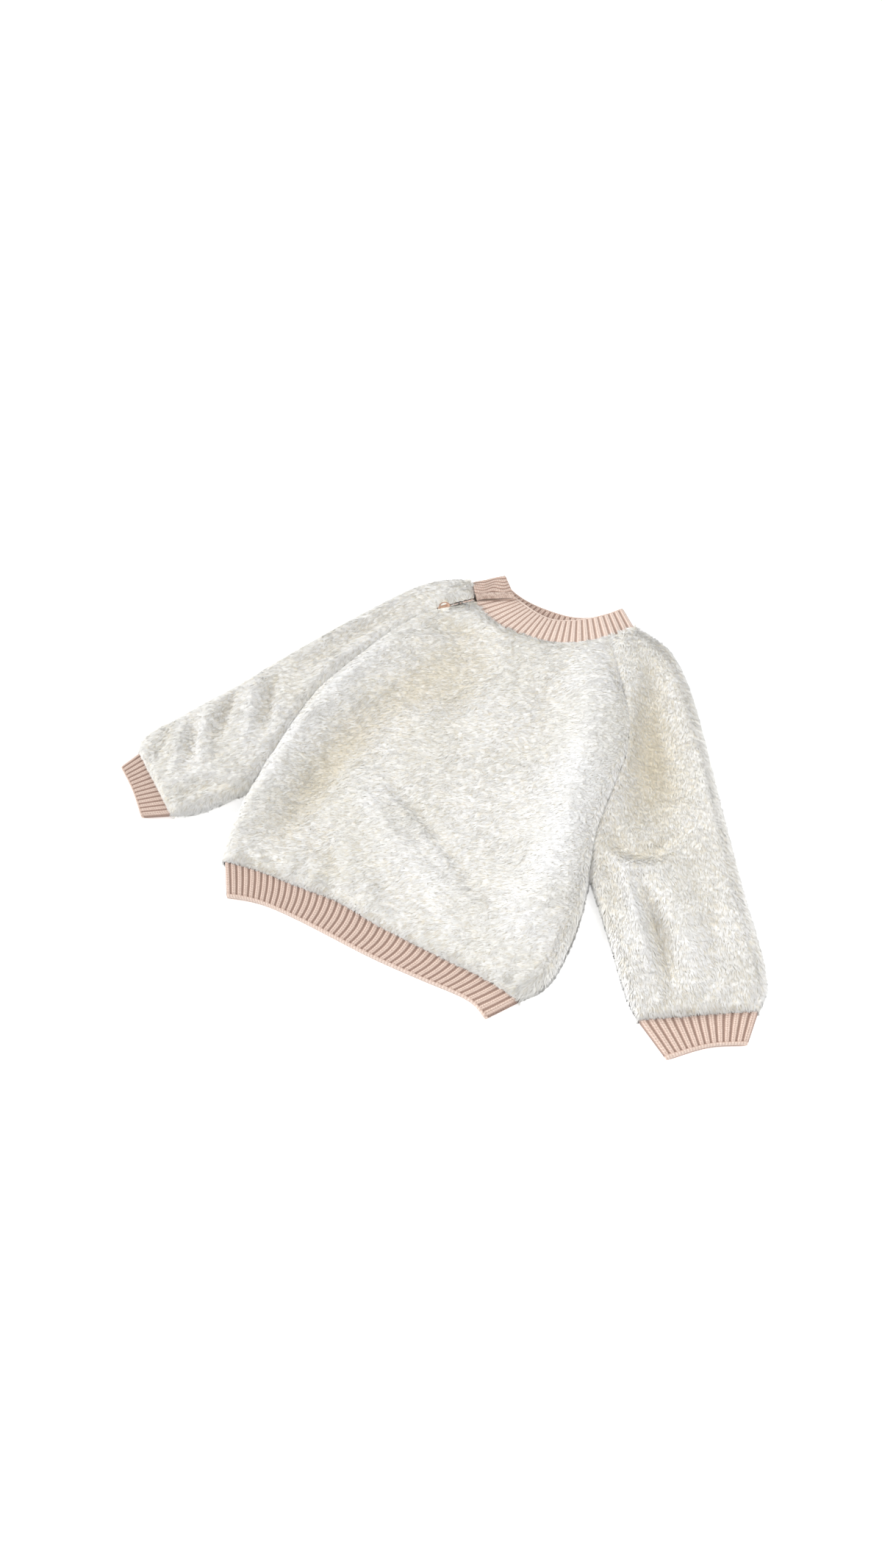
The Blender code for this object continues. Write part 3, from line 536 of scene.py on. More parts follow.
def quads(grid):
    """Faces over a grid of vertex numbers."""
    corners = (grid[:-1, :-1], grid[:-1, 1:], grid[1:, 1:], grid[1:, :-1])
    return np.stack([corner.ravel() for corner in corners], axis=1)


def numbered(points):
    """Numbers of a grid's points, in its rows and columns."""
    return np.arange(points.shape[0] * points.shape[1]).reshape(points.shape[:2])


def ringed(grid):
    """The grid with its first column again after its last, so that its rows close."""
    return np.hstack([grid, grid[:, :1]])


def add_mesh(name, vertices, face_groups, material, shades=None, normals=None):
    """A mesh piece from points in garment millimetres and faces, in a group for each count of corners."""
    mesh = bpy.data.meshes.new(name)
    points = np.asarray(vertices) * MM + FRAME_SHIFT
    corners = np.concatenate([np.full(len(group), group.shape[1]) for group in face_groups])
    indices = np.concatenate([group.ravel() for group in face_groups])
    mesh.vertices.add(len(points))
    mesh.vertices.foreach_set("co", points.ravel().astype(np.float32))
    mesh.loops.add(len(indices))
    mesh.loops.foreach_set("vertex_index", indices.astype(np.int32))
    mesh.polygons.add(len(corners))
    starts = np.concatenate([[0], np.cumsum(corners)[:-1]])
    mesh.polygons.foreach_set("loop_start", starts.astype(np.int32))
    if shades is not None:
        attribute = mesh.attributes.new("shade", "FLOAT", "POINT")
        attribute.data.foreach_set("value", shades.ravel().astype(np.float32))
    mesh.update(calc_edges=True)
    mesh.validate()
    mesh.materials.append(material)
    mesh.shade_smooth()
    if normals is None:
        face_outward(mesh)
    else:
        mesh.normals_split_custom_set_from_vertices(normals)
    piece = bpy.data.objects.new(name, mesh)
    bpy.context.scene.collection.objects.link(piece)
    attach(piece, "root")
    return piece


def stand_for(piece, node):
    """The piece as the dress of a solid, which is hidden."""
    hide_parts(node)
    return piece


def face_outward(mesh):
    work = bmesh.new()
    work.from_mesh(mesh)
    bmesh.ops.recalc_face_normals(work, faces=work.faces)
    work.to_mesh(mesh)
    work.free()


def closed_wall(outer, inner):
    """Vertices and faces of a wall between two grids that have the same rows and columns."""
    upper = numbered(outer)
    lower = upper + upper.size
    faces = [quads(upper), quads(lower)]
    for edge in (np.s_[0, :], np.s_[-1, :], np.s_[:, 0], np.s_[:, -1]):
        faces.append(quads(np.stack([upper[edge], lower[edge]])))
    return np.vstack([outer.reshape(-1, 3), inner.reshape(-1, 3)]), np.vstack(faces)


# ---- garment plans, as on the solids

Sheet = namedtuple("Sheet", "plan columns armpit")
Side = namedtuple("Side", "sheet surface normals depth weight")


def edge_rows(side, raglan, inward):
    along_raglan = Path(raglan).at(RAGLAN_SHARES)
    rows = np.vstack([Path(side).at(SIDE_SHARES), along_raglan])
    return offset(rows, inward * np.where(np.arange(len(rows)) < len(SIDE_SHARES), 0, SEAM_GAP / 2))


def panel_sheet(left, right, hem, neck):
    """A body panel: straight rows between its edges, bowed to the hem's and the neck's line."""
    share = np.array(PANEL_COLUMNS)[None, :, None]
    plan = left[:, None] * (1 - share) + right[:, None] * share
    progress = np.linspace(0, 1, len(left))[:, None, None]
    for line, fade in ((hem, (1 - progress) ** BOW_POWER), (neck, progress**BOW_POWER)):
        points = Path(line).at(PANEL_COLUMNS)
        chord = points[:1] * (1 - share[0]) + points[-1:] * share[0]
        plan = plan + (points - chord)[None] * fade
    columns = smoothed(np.array(PANEL_COLUMNS), FINER)
    return Sheet(refined(plan, FINER), columns, (len(SIDE_SHARES) - 1) * FINER)


def sleeve_sheet(under, raglan, outer, armpit_at, sign):
    """One sheet of a sleeve: straight rows from cuff to neck between its inner and its outer edge."""
    raglan_rows = offset(Path(raglan).at((0,) + RAGLAN_SHARES), sign * SEAM_GAP / 2)[1:]
    under_rows = Path(under).at(ARM_SHARES)
    under_rows[-1] += (under_rows[-2] - under_rows[-1]) * ARMPIT_STEP_BACK
    start = np.vstack([under_rows, raglan_rows])
    arm = np.array(ARM_SHARES) * armpit_at
    shoulder = armpit_at + np.array(RAGLAN_SHARES) * (1 - armpit_at)
    stop = Path(outer).at(np.concatenate([arm, shoulder]))
    plan = start[:, None] + (stop - start)[:, None] * np.array(SLEEVE_COLUMNS)[None, :, None]
    columns = smoothed(np.array(SLEEVE_COLUMNS), FINER)
    return Sheet(refined(plan, FINER), columns, (len(ARM_SHARES) - 1) * FINER)


def seam_share(sheet):
    """For each row, 0 along the side seam and 1 along the raglan seam, with a short blend."""
    past = travelled(sheet.plan[:, :1])[:, 0]
    return smoothstep((past - past[sheet.armpit]) / ARMPIT_BLEND)


def row_progress(plan):
    walked = travelled(plan)
    return walked / walked[-1]


def edge_distances(sheet):
    """Distance of each grid point from the first and last column and from the first and last row."""
    share = sheet.columns[None, :]
    width = np.linalg.norm(sheet.plan[:, -1] - sheet.plan[:, 0], axis=-1)[:, None]
    walked = travelled(sheet.plan)
    return share * width, (1 - share) * width, walked, walked[-1] - walked


def sheet_edges(sheet, heights, radii, is_sleeve, last_raglan):
    """Distances, heights and radii of a sheet's four edges, for puffed(). The heights and radii are those at
    the side seam, the raglan seam, the hem or cuff, and the neck. The last column's raglan seam has a height
    of its own, and a sleeve's last column is the fold along its outside."""
    distances = edge_distances(sheet)
    width = (distances[0] + distances[1])[:, :1]
    seam = seam_share(sheet)[:, None]
    last_seam = 0 if is_sleeve else seam
    side_height, raglan_height, first_row_height, last_row_height = heights
    side_radius, raglan_radius, first_row_radius, last_row_radius = radii
    edge_heights = (
        side_height + (raglan_height - side_height) * seam,
        side_height + (last_raglan - side_height) * last_seam,
        first_row_height, last_row_height,
    )
    limit = ROLL_LIMIT * width
    edge_radii = (
        np.minimum(side_radius + (raglan_radius - side_radius) * seam, limit),
        np.minimum(side_radius + (raglan_radius - side_radius) * last_seam, limit),
        first_row_radius, last_row_radius,
    )
    return tuple(zip(distances, edge_heights, edge_radii))


def ground_depth(sheet):
    """Depth of the ground under the outer surface; at the edges the ground comes up to the seam."""
    nearest = np.minimum.reduce(edge_distances(sheet))
    return GROUND_DEPTH * (SEAM_DEPTH_SHARE + (1 - SEAM_DEPTH_SHARE) * smoothstep(nearest / GROUND_EDGE))


def front_side(sheet, crown_table, folds, heights, radii, is_sleeve):
    """The side of a sheet that faces up: its crown with its folds, rolled down to its seams."""
    crown = np.interp(row_progress(sheet.plan), *zip(*crown_table)) + relief(sheet.plan, folds)
    flat = at_height(sheet.plan, 0.0)
    for seed, cell, rise in CROWN_NOISES:
        crown = crown + rise * Noise(seed, cell).at(flat)
    seed, cell, rise = GATHER_NOISE
    crown = crown + rise * Noise(seed, cell).at(flat) * bell(travelled(sheet.plan), GATHERED)
    crown = LOWEST_CROWN + np.logaddexp(0, crown - LOWEST_CROWN)
    edges = sheet_edges(sheet, heights, radii, is_sleeve, RIGHT_RAGLAN_TOP)
    surface = at_height(sheet.plan, puffed(crown, edges))
    return Side(sheet, surface, grid_normals(surface, 1), ground_depth(sheet), 1.0)


def back_side(sheet, side_height, is_sleeve):
    """The side of a sheet that lies on the surface: flat, and rolled up at its seams. Its ground is thin, and
    its pile stands only where it rolls up."""
    heights = (side_height, BACK_RAGLAN_BASE, 0.0, 0.0)
    radii = (BACK_ROLL, BACK_SEAM_ROLL, BACK_SEAM_ROLL, BACK_SEAM_ROLL)
    edges = sheet_edges(sheet, heights, radii, is_sleeve, BACK_RAGLAN_BASE)
    surface = at_height(sheet.plan, puffed(FLAT_CROWN, edges))
    height = surface[..., 2]
    depth = np.minimum(ground_depth(sheet), np.maximum(height * BACK_DEPTH_SHARE, BACK_DEPTH_LEAST))
    weight = smoothstep((height[:-1, :-1] - BACK_RIM_START) / BACK_RIM_FADE)
    return Side(sheet, surface, grid_normals(surface, -1), depth, weight)


# ---- materials

def new_material(name, colour, roughness):
    material = bpy.data.materials.new(name)
    material.use_nodes = True
    shader = material.node_tree.nodes["Principled BSDF"]
    shader.inputs["Base Color"].default_value = (*colour, 1)
    shader.inputs["Roughness"].default_value = roughness
    return material, material.node_tree, shader


def add_node(tree, kind, **values):
    node = tree.nodes.new(kind)
    for key, value in values.items():
        if key in node.inputs:
            node.inputs[key].default_value = value
        else:
            setattr(node, key, value)
    return node


def noise_node(tree, scale, detail):
    place = add_node(tree, "ShaderNodeTexCoord")
    noise = add_node(tree, "ShaderNodeTexNoise", Scale=scale, Detail=detail)
    tree.links.new(place.outputs["Object"], noise.inputs["Vector"])
    return noise.outputs["Fac"]


def ramp(tree, fac, stops):
    node = add_node(tree, "ShaderNodeValToRGB")
    elements = node.color_ramp.elements
    for element, (place, colour) in zip(elements, (stops[0], stops[-1])):
        element.position = place
        element.color = (*colour, 1)
    for place, colour in stops[1:-1]:
        elements.new(place).color = (*colour, 1)
    tree.links.new(fac, node.inputs["Fac"])
    return node.outputs["Color"]


def tinted(tree, colour, noise, low, high):
    """A colour multiplied by a tint that wanders between two values with a noise."""
    tint = ramp(tree, noise, ((0.35, low), (0.65, high)))
    mix = add_node(tree, "ShaderNodeMix", data_type="RGBA", blend_type="MULTIPLY")
    mix.inputs["Factor"].default_value = 1.0
    tree.links.new(colour, mix.inputs[6])
    tree.links.new(tint, mix.inputs[7])
    return mix.outputs[2]


def bump(tree, shader, height, strength, distance):
    node = add_node(tree, "ShaderNodeBump", Strength=strength, Distance=distance)
    tree.links.new(height, node.inputs["Height"])
    tree.links.new(node.outputs["Normal"], shader.inputs["Normal"])


def shade_of(tree):
    return add_node(tree, "ShaderNodeAttribute", attribute_name="shade").outputs["Fac"]


# The pile's colour, from its painted shade at 0 to its painted light at 1.
PILE_SHADE_STOPS = ((0.0, (0.76, 0.69, 0.55)), (0.5, (0.90, 0.885, 0.845)), (1.0, (0.99, 0.99, 0.985)))
# The ground is darker than the pile, with a noise: painted shade between the tufts.
GROUND_SHADE_STOPS = ((0.3, (0.74, 0.70, 0.61)), (0.7, (0.90, 0.88, 0.82)))
RESIN_STOPS = ((0.3, (0.36, 0.20, 0.13)), (0.7, (0.58, 0.39, 0.28)))
# The rib's colour, from its painted shade at 0 to its painted light at 1.
RIB_SHADE_STOPS = ((0.0, (0.27, 0.18, 0.145)), (0.45, (0.58, 0.43, 0.36)), (1.0, (0.93, 0.79, 0.70)))


def pile_material():
    material, tree, shader = new_material("sherpa_pile", (0.94, 0.93, 0.9), 0.9)
    colour = ramp(tree, shade_of(tree), PILE_SHADE_STOPS)
    patches = noise_node(tree, 26.0, 0.0)
    colour = tinted(tree, colour, patches, (0.955, 0.95, 0.93), (1.0, 1.0, 1.0))
    tree.links.new(colour, shader.inputs["Base Color"])
    shader.inputs["Specular IOR Level"].default_value = 0.1
    return material


def ground_material():
    material, tree, shader = new_material("knit_ground", (0.86, 0.85, 0.8), 0.95)
    colour = ramp(tree, noise_node(tree, 420.0, 1.0), GROUND_SHADE_STOPS)
    tree.links.new(colour, shader.inputs["Base Color"])
    bump(tree, shader, noise_node(tree, 500.0, 2.0), 0.6, 0.0015)
    shader.inputs["Specular IOR Level"].default_value = 0.1
    return material


def rib_material():
    material, tree, shader = new_material("rib_knit", (0.62, 0.42, 0.35), 0.88)
    colour = ramp(tree, shade_of(tree), RIB_SHADE_STOPS)
    colour = tinted(tree, colour, noise_node(tree, 900.0, 3.0), (0.86, 0.82, 0.80), (1.0, 1.0, 1.0))
    tree.links.new(colour, shader.inputs["Base Color"])
    bump(tree, shader, noise_node(tree, 1600.0, 3.0), 0.5, 0.0004)
    shader.inputs["Sheen Weight"].default_value = 0.2
    shader.inputs["Specular IOR Level"].default_value = 0.2
    return material


def button_material():
    material, tree, shader = new_material("button_resin", (0.46, 0.29, 0.2), 0.5)
    colour = ramp(tree, noise_node(tree, 260.0, 3.0), RESIN_STOPS)
    tree.links.new(colour, shader.inputs["Base Color"])
    return material


PILE = pile_material()
GROUND = ground_material()
RIB = rib_material()
RESIN = button_material()


# ---- pile

Patch = namedtuple("Patch", "surface normals depth comb tone weight")
TUFT_SHARE = 1.0


def slit_line(start, points):
    """Points along the slit, from a share of the left raglan seam to the neck."""
    return offset(Path(RAGLAN_LEFT).at(np.linspace(start, SLIT_STOP, points)), SLIT_ASIDE)


SLIT = np.vstack([BUTTON_CENTRE, slit_line(SLIT_START, SLIT_POINTS)])


def cell_values(field, row, column, a, b):
    """Values of a grid field at places inside its cells."""
    a, b = a[:, None], b[:, None]
    first = field[row, column] * (1 - b) + field[row, column + 1] * b
    second = field[row + 1, column] * (1 - b) + field[row + 1, column + 1] * b
    return first * (1 - a) + second * a


def scattered(patch, count, rng):
    """Roots over a patch, evenly by area and weight, with what the patch holds there."""
    across = np.diff(patch.surface, axis=1)[:-1]
    down = np.diff(patch.surface, axis=0)[:, :-1]
    area = np.linalg.norm(np.cross(across, down), axis=-1) * patch.weight
    total = np.cumsum(area.ravel())
    picks = (np.arange(count) + rng.random(count)) / count * total[-1]
    row, column = np.unravel_index(np.searchsorted(total, picks), area.shape)
    a, b = rng.random((2, count))
    fields = (patch.surface, patch.normals, patch.depth[..., None], patch.comb, patch.tone[..., None])
    return [cell_values(field, row, column, a, b) for field in fields]


def pile_tufts(patches, counts, seed):
    """Vertices, faces, shades and normals of tufts: three-sided spikes that stand on the ground and lean with
    the comb, a slow swirl, their clump and by chance. Their normals stay near the cloth's own, so that the
    pile is shaded softly."""
    rng = np.random.default_rng(seed)
    found = [scattered(patch, int(count * TUFT_SHARE), rng) for patch, count in zip(patches, counts)]
    surface, normal, depth, comb, painted_light = (np.concatenate(part) for part in zip(*found))
    clear = np.linalg.norm(surface[:, None, :2] - SLIT, axis=-1).min(axis=1) > SLIT_CLEARANCE
    clear &= np.linalg.norm(surface[:, :2] - BUTTON_CENTRE, axis=-1) > BUTTON_CLEARANCE
    surface, normal, depth, comb, painted_light = (part[clear] for part in (surface, normal, depth, comb, painted_light))
    count = len(surface)
    normal = unit(normal)
    root = surface - normal * depth
    nub = Noise(NUB_SEED, NUB).at(root)[:, None]
    swirl = drift(SWIRL_SEED, SWIRL, root)
    clump = drift(CLUMP_SEED, CLUMP, root)
    stray = rng.normal(0, 1, (count, 3))
    root = root + normal * NUB_RISE * nub
    lean = tangent(comb + SWIRL_LEAN * swirl + CLUMP_LEAN * clump + STRAY_LEAN * stray, normal)
    way = unit(lean + normal * (TUFT_RISE + CLUMP_RISE * clump[:, :1] + STRAY_RISE * stray[:, :1]))
    side = unit(np.cross(way, normal))
    over = np.cross(side, way)
    length = TUFT_LENGTH * rng.uniform(*TUFT_SPREAD, (count, 1))
    radius = TUFT_WIDTH / 2 * rng.uniform(*TUFT_SPREAD, (count, 1))
    corners = (root + side * radius, root + over * radius, root - side * radius, root + way * length)
    points = np.stack(corners, axis=1)
    points[..., 2] = np.maximum(points[..., 2], TUFT_LOWEST)
    number = np.arange(count)[:, None] * len(corners)
    faces = np.concatenate([number + (0, 3, 1), number + (1, 3, 2), number + (2, 3, 0)])
    # A tuft's tone: a random spread, painted shade where the nubs dip, and the patch's painted light and
    # shade.
    tone = rng.normal(0, TONE_SPREAD, count) + NUB_PAINTED_SHADE * nub[:, 0] + painted_light[:, 0]
    shades = np.clip(tone[:, None] + TUFT_PAINTED_SHADES, 0, 1)
    leaning = normal + CLUMP_TURN * tangent(clump, normal)
    leaning[:, 2] += RIM_LIFT * (1 - np.abs(normal[:, 2])) ** 2
    turns = (SIDE_TURN * side, 0, -SIDE_TURN * side, TIP_TURN * way)
    soft = np.stack([leaning + turn for turn in turns], axis=1)
    return points.reshape(-1, 3), faces, shades, unit(soft).reshape(-1, 3)


def sheet_patch(side, comb_to, folds=()):
    """A patch of pile over a side of a sheet. The comb runs along the surface toward a plan direction, away
    from the slit beside it, and toward the edges near them, so that the pile hangs over the seams."""
    surface, normals = side.surface, side.normals
    comb = tangent(np.broadcast_to(np.append(comb_to, 0.0), normals.shape), normals)
    across = unit(np.gradient(surface, axis=1))
    down = unit(np.gradient(surface, axis=0))
    away = surface[..., None, :2] - SLIT
    nearest = np.linalg.norm(away, axis=-1).argmin(axis=-1)[..., None, None]
    away = at_height(np.take_along_axis(away, nearest, axis=-2)[..., 0, :], 0.0)
    parted = bell(np.linalg.norm(away, axis=-1, keepdims=True), PARTING)
    comb = comb * (1 - parted) + PARTING_LEAN * parted * tangent(away, normals)
    strength = OVERHANG_LEAN * (1 + Noise(*OVERHANG_NOISE).at(surface))[..., None] * (1 - parted)
    distances = edge_distances(side.sheet)
    for distance, outward in zip(distances, (-across, across, -down, down)):
        comb = comb + strength * bell(distance, OVERHANG)[..., None] * outward
    # Painted light and shade: lighter on fold ridges and steep rims, darker in fold hollows and along the
    # seam.
    tone = FOLD_PAINTED_SHADE * relief(side.sheet.plan, folds) + RIM_PAINTED_LIGHT * (1 - np.abs(normals[..., 2])) ** 2
    seam = bell(distances[2], SEAM_SHADE)
    tone = tone - seam * (SEAM_PAINTED_SHADE + SEAM_SHADE_MOTTLE * Noise(*SEAM_NOISE).at(surface))
    cells = np.broadcast_to(side.weight, tuple(n - 1 for n in surface.shape[:2]))
    return Patch(surface, normals, side.depth, comb, tone, cells)


def ground_wall(side, every=1):
    """The ground of a side, from every so many of its grid's rows and columns."""
    surface, normals, depth = (part[::every, ::every] for part in (side.surface, side.normals, side.depth))
    outer = surface - normals * depth[..., None]
    inner = surface - normals * (depth + GROUND_WALL)[..., None]
    outer[..., 2] = np.maximum(outer[..., 2], TUFT_LOWEST)
    inner[..., 2] = np.maximum(inner[..., 2], TUFT_LOWEST + GROUND_LEAST)
    return closed_wall(outer, inner)


def add_cloth(name, node, walls):
    """The knit ground of one node, made of one wall or more."""
    points, faces = zip(*walls)
    starts = np.cumsum([0] + [len(part) for part in points[:-1]])
    faces = np.vstack([part + start for part, start in zip(faces, starts)])
    return stand_for(add_mesh(name, np.vstack(points), [faces], GROUND), node)


def add_pile(name, patches, counts, seed):
    """A piece of pile alone, which leaves its node to the ground under it."""
    vertices, faces, shades, normals = pile_tufts(patches, counts, seed)
    piece = add_mesh(name, vertices, [faces], PILE, shades, normals)
    return piece


# ---- body panels and sleeves

front_left = edge_rows(SIDE_LEFT, RAGLAN_LEFT, -1)
front_left[-PLACKET_ROWS:] += (offset(front_left, -PLACKET_WIDTH) - front_left)[-PLACKET_ROWS:]
front_right = edge_rows(SIDE_RIGHT, RAGLAN_RIGHT, 1)
front = front_side(
    panel_sheet(front_left, front_right, HEM_SEAM, NECK_FRONT), FRONT_CROWN, FRONT_FOLDS,
    (SIDE_TOP, RAGLAN_TOP, HEM_TOP, NECK_TOP), (SIDE_ROLL, RAGLAN_ROLL, HEM_ROLL, NECK_ROLL), False,
)
back_left = edge_rows(SIDE_LEFT, RAGLAN_BACK_LEFT, -1)
back_right = edge_rows(SIDE_RIGHT, RAGLAN_BACK_RIGHT, 1)
back = back_side(panel_sheet(back_left, back_right, HEM_SEAM, NECK_BACK), BACK_SIDE_TOP, False)


def sleeve_sides(under, raglans, outer, armpit_at, sign, crown_table, folds):
    upper, lower = (sleeve_sheet(under, raglan, outer, armpit_at, sign) for raglan in raglans)
    heights = (MIDDLE, RAGLAN_TOP if sign > 0 else RIGHT_RAGLAN_TOP, CUFF_TOP, NECK_TOP)
    radii = (SLEEVE_SIDE_ROLL, RAGLAN_ROLL, HEM_ROLL, NECK_ROLL)
    return front_side(upper, crown_table, folds, heights, radii, True), back_side(lower, MIDDLE, True)


left_above, left_below = sleeve_sides(
    SLEEVE_LEFT_UNDER, (RAGLAN_LEFT, RAGLAN_BACK_LEFT), SLEEVE_LEFT_OUTER,
    LEFT_ARMPIT_SHARE, 1, SLEEVE_LEFT_CROWN, SLEEVE_LEFT_FOLDS,
)
right_above, right_below = sleeve_sides(
    SLEEVE_RIGHT_UNDER, (RAGLAN_RIGHT, RAGLAN_BACK_RIGHT), SLEEVE_RIGHT_OUTER,
    RIGHT_ARMPIT_SHARE, -1, SLEEVE_RIGHT_CROWN, SLEEVE_RIGHT_FOLDS,
)

front_cloth = add_cloth("front_ground", "front", [ground_wall(front)])
front_patch = sheet_patch(front, FRONT_COMB, FRONT_FOLDS)
front_piles = [
    add_pile(f"front_pile_{k}", [front_patch], [FRONT_TUFTS], seed)
    for k, seed in enumerate(FRONT_SEEDS)
]
back_cloth = add_cloth("back_ground", "back", [ground_wall(back, BACK_STEP)])
back_pile = add_pile("back_pile", [sheet_patch(back, BACK_COMB)], [BACK_TUFTS], BACK_SEED)


def add_sleeve(hand, above, below, comb, seed, folds):
    walls = [ground_wall(above), ground_wall(below, SLEEVE_BACK_STEP)]
    cloth = add_cloth(f"sleeve_{hand}_ground", f"sleeve_{hand}", walls)
    patches = [sheet_patch(above, comb, folds), sheet_patch(below, comb)]
    return cloth, add_pile(f"sleeve_{hand}_pile", patches, SLEEVE_TUFTS, seed)


left_cloth, left_pile = add_sleeve("left", left_above, left_below, LEFT_COMB, LEFT_SEED, SLEEVE_LEFT_FOLDS)
right_cloth, right_pile = add_sleeve(
    "right", right_above, right_below, RIGHT_COMB, RIGHT_SEED, SLEEVE_RIGHT_FOLDS
)


# ---- rib knit

def rib_profile(phase, stitches):
    """Relief and shade, each from about 0 to 1, of a rib of knit stitches. The phase runs from one valley to
    the next, and a stitch is two strands that slope away from the rib's middle."""
    away = np.abs(phase - 0.5)
    ridge = 1 - smoothstep((away - RIDGE) / RIDGE_SIDE)
    middle = bell(away, RIDGE_DIP)
    strand = ripple(stitches + STRAND_SLOPE * away)
    purl = ripple(stitches)
    height, shade = (
        ridge * (level + gain * strand) - dip * middle * ridge + (1 - ridge) * (valley + bump_gain * purl)
        for level, gain, dip, valley, bump_gain in RIB_PARTS
    )
    return height, np.clip(shade, 0, 1)


Knit = namedtuple("Knit", "plan phase stitches from_seam depth")


def knit_grid(seam, free, ribs, bend=0.0, skew=0.0, samples_a_rib=RIB_SAMPLES, row_step=ROW_STEP):
    """Plan grid of a rib band from its seam to its free edge, with its rib phase and its stitch count at each
    point. The ribs bow sideways by bend, in ribs, on their way, and end up to a share of skew to the left."""
    samples = np.arange(ribs * samples_a_rib + 1) / (ribs * samples_a_rib)
    depth = np.linalg.norm(free.at(samples) - seam.at(samples), axis=-1).mean()
    across = np.linspace(0, 1, int(depth / row_step))[:, None]
    bow = bend / ribs * np.sin(np.pi * across) * np.sin(np.pi * samples)[None, :]
    moved = samples[None, :] + bow
    ends = free.at(moved - skew * np.sin(np.pi * samples)[None, :])
    plan = seam.at(moved) * (1 - across)[..., None] + ends * across[..., None]
    shape = moved.shape
    from_seam = np.broadcast_to(across * depth, shape)
    phase = np.broadcast_to((samples * ribs) % 1, shape)
    return Knit(plan, phase, from_seam / STITCH, from_seam, depth)


def band_ends(plan):
    along = np.linalg.norm(np.diff(plan, axis=1), axis=-1)
    walked = np.hstack([np.zeros((len(plan), 1)), np.cumsum(along, axis=1)])
    return walked, walked[:, -1:] - walked


def knit_relief(knit):
    """Relief and shade of a rib band, with its last stitches bound off in a narrow rolled edge."""
    height, shade = rib_profile(knit.phase, knit.stitches)
    left = knit.depth - knit.from_seam
    bead, groove = (bell(left - place, width) for place, width in (BEAD, GROOVE))
    chain = ripple(2 * knit.phase)
    edge = smoothstep((BOUND_OFF[0] - left) / BOUND_OFF[1])
    level, gain, dip = BOUND_OFF_PARTS[0]
    height = height * (1 - edge) + edge * (level + gain * chain) * bead - dip * groove
    level, gain, dip = BOUND_OFF_PARTS[1]
    shade = shade * (1 - edge) + edge * (level + gain * chain) - dip * groove
    return height, np.clip(shade, 0, 1)


def edge_rounding(knit):
    """1 over the band, falling to a small share at its free edge, so that the edge is rolled."""
    return roll((knit.depth - knit.from_seam) / BAND_EDGE + BAND_EDGE_LEAST)


def add_strip(name, node, plan, top, under, shades):
    """A band as a closed strip: its knit face, and a plain one that spans its first and its last row."""
    rows = np.concatenate([at_height(plan, top), at_height(plan, under)[[-1, 0]]])
    tones = np.concatenate([shades, shades[[-1, 0]]])
    grid = numbered(rows)
    caps = []
    for column in (grid[:, 0], grid[:, -1]):
        face = column[:-2]
        caps += [np.stack([face[:-1], face[1:], np.full(len(face) - 1, column[-1])], axis=1)]
        caps += [np.array([[face[-1], column[-2], column[-1]]])]
    faces = [quads(np.vstack([grid, grid[:1]])), np.vstack(caps)]
    return stand_for(add_mesh(name, rows.reshape(-1, 3), faces, RIB, tones), node)


def back_dip(height, base):
    """How far the valleys of a band's underside are cut in, within the room above its base."""
    room = np.maximum(BAND_BACK_TOP - BAND_END_WALL - base, 0)
    return np.clip(RIB_RELIEF * (RIB_SINK - height), 0, room)


def hem_bands():
    seam = Path(front.sheet.plan[0], curved=False)
    knit = knit_grid(seam, Path(HEM_FREE), HEM_RIBS, bend=HEM_BEND, skew=HEM_SKEW)
    ends = [(end, BAND_FRONT_FLOOR + BAND_END_WALL, BAND_ROLL) for end in band_ends(knit.plan)]
    height, shade = knit_relief(knit)
    rise = puffed(BAND_FRONT_TOP, ends) + RIB_RELIEF * height - BAND_FRONT_FLOOR
    top = BAND_FRONT_FLOOR + rise * edge_rounding(knit)
    above = add_strip("hem_rib_front", "hem_band_front", knit.plan, top, BAND_FRONT_FLOOR, shade)
    knit = knit_grid(seam, Path(HEM_FREE), HEM_RIBS, samples_a_rib=COARSE_SAMPLES, row_step=COARSE_STEP)
    base = puffed(0.0, [(end, BAND_BACK_TOP - BAND_END_WALL, BAND_ROLL) for end in band_ends(knit.plan)])
    height, shade = knit_relief(knit)
    bottom = BAND_BACK_TOP - (BAND_BACK_TOP - base - back_dip(height, base)) * edge_rounding(knit)
    below = add_strip("hem_rib_back", "hem_band_back", knit.plan, bottom, BAND_BACK_TOP, shade)
    return above, below


def shortened(plan, wall):
    """A band's grid with its rows shortened by a wall at both ends."""
    from_first, to_last = band_ends(plan)
    width = (from_first + to_last)[:, :1]
    target = wall + (width - 2 * wall) * from_first / width
    rows = [
        np.stack([np.interp(at, walked, row[:, axis]) for axis in range(2)], axis=-1)
        for at, walked, row in zip(target, from_first, plan)
    ]
    return np.array(rows)


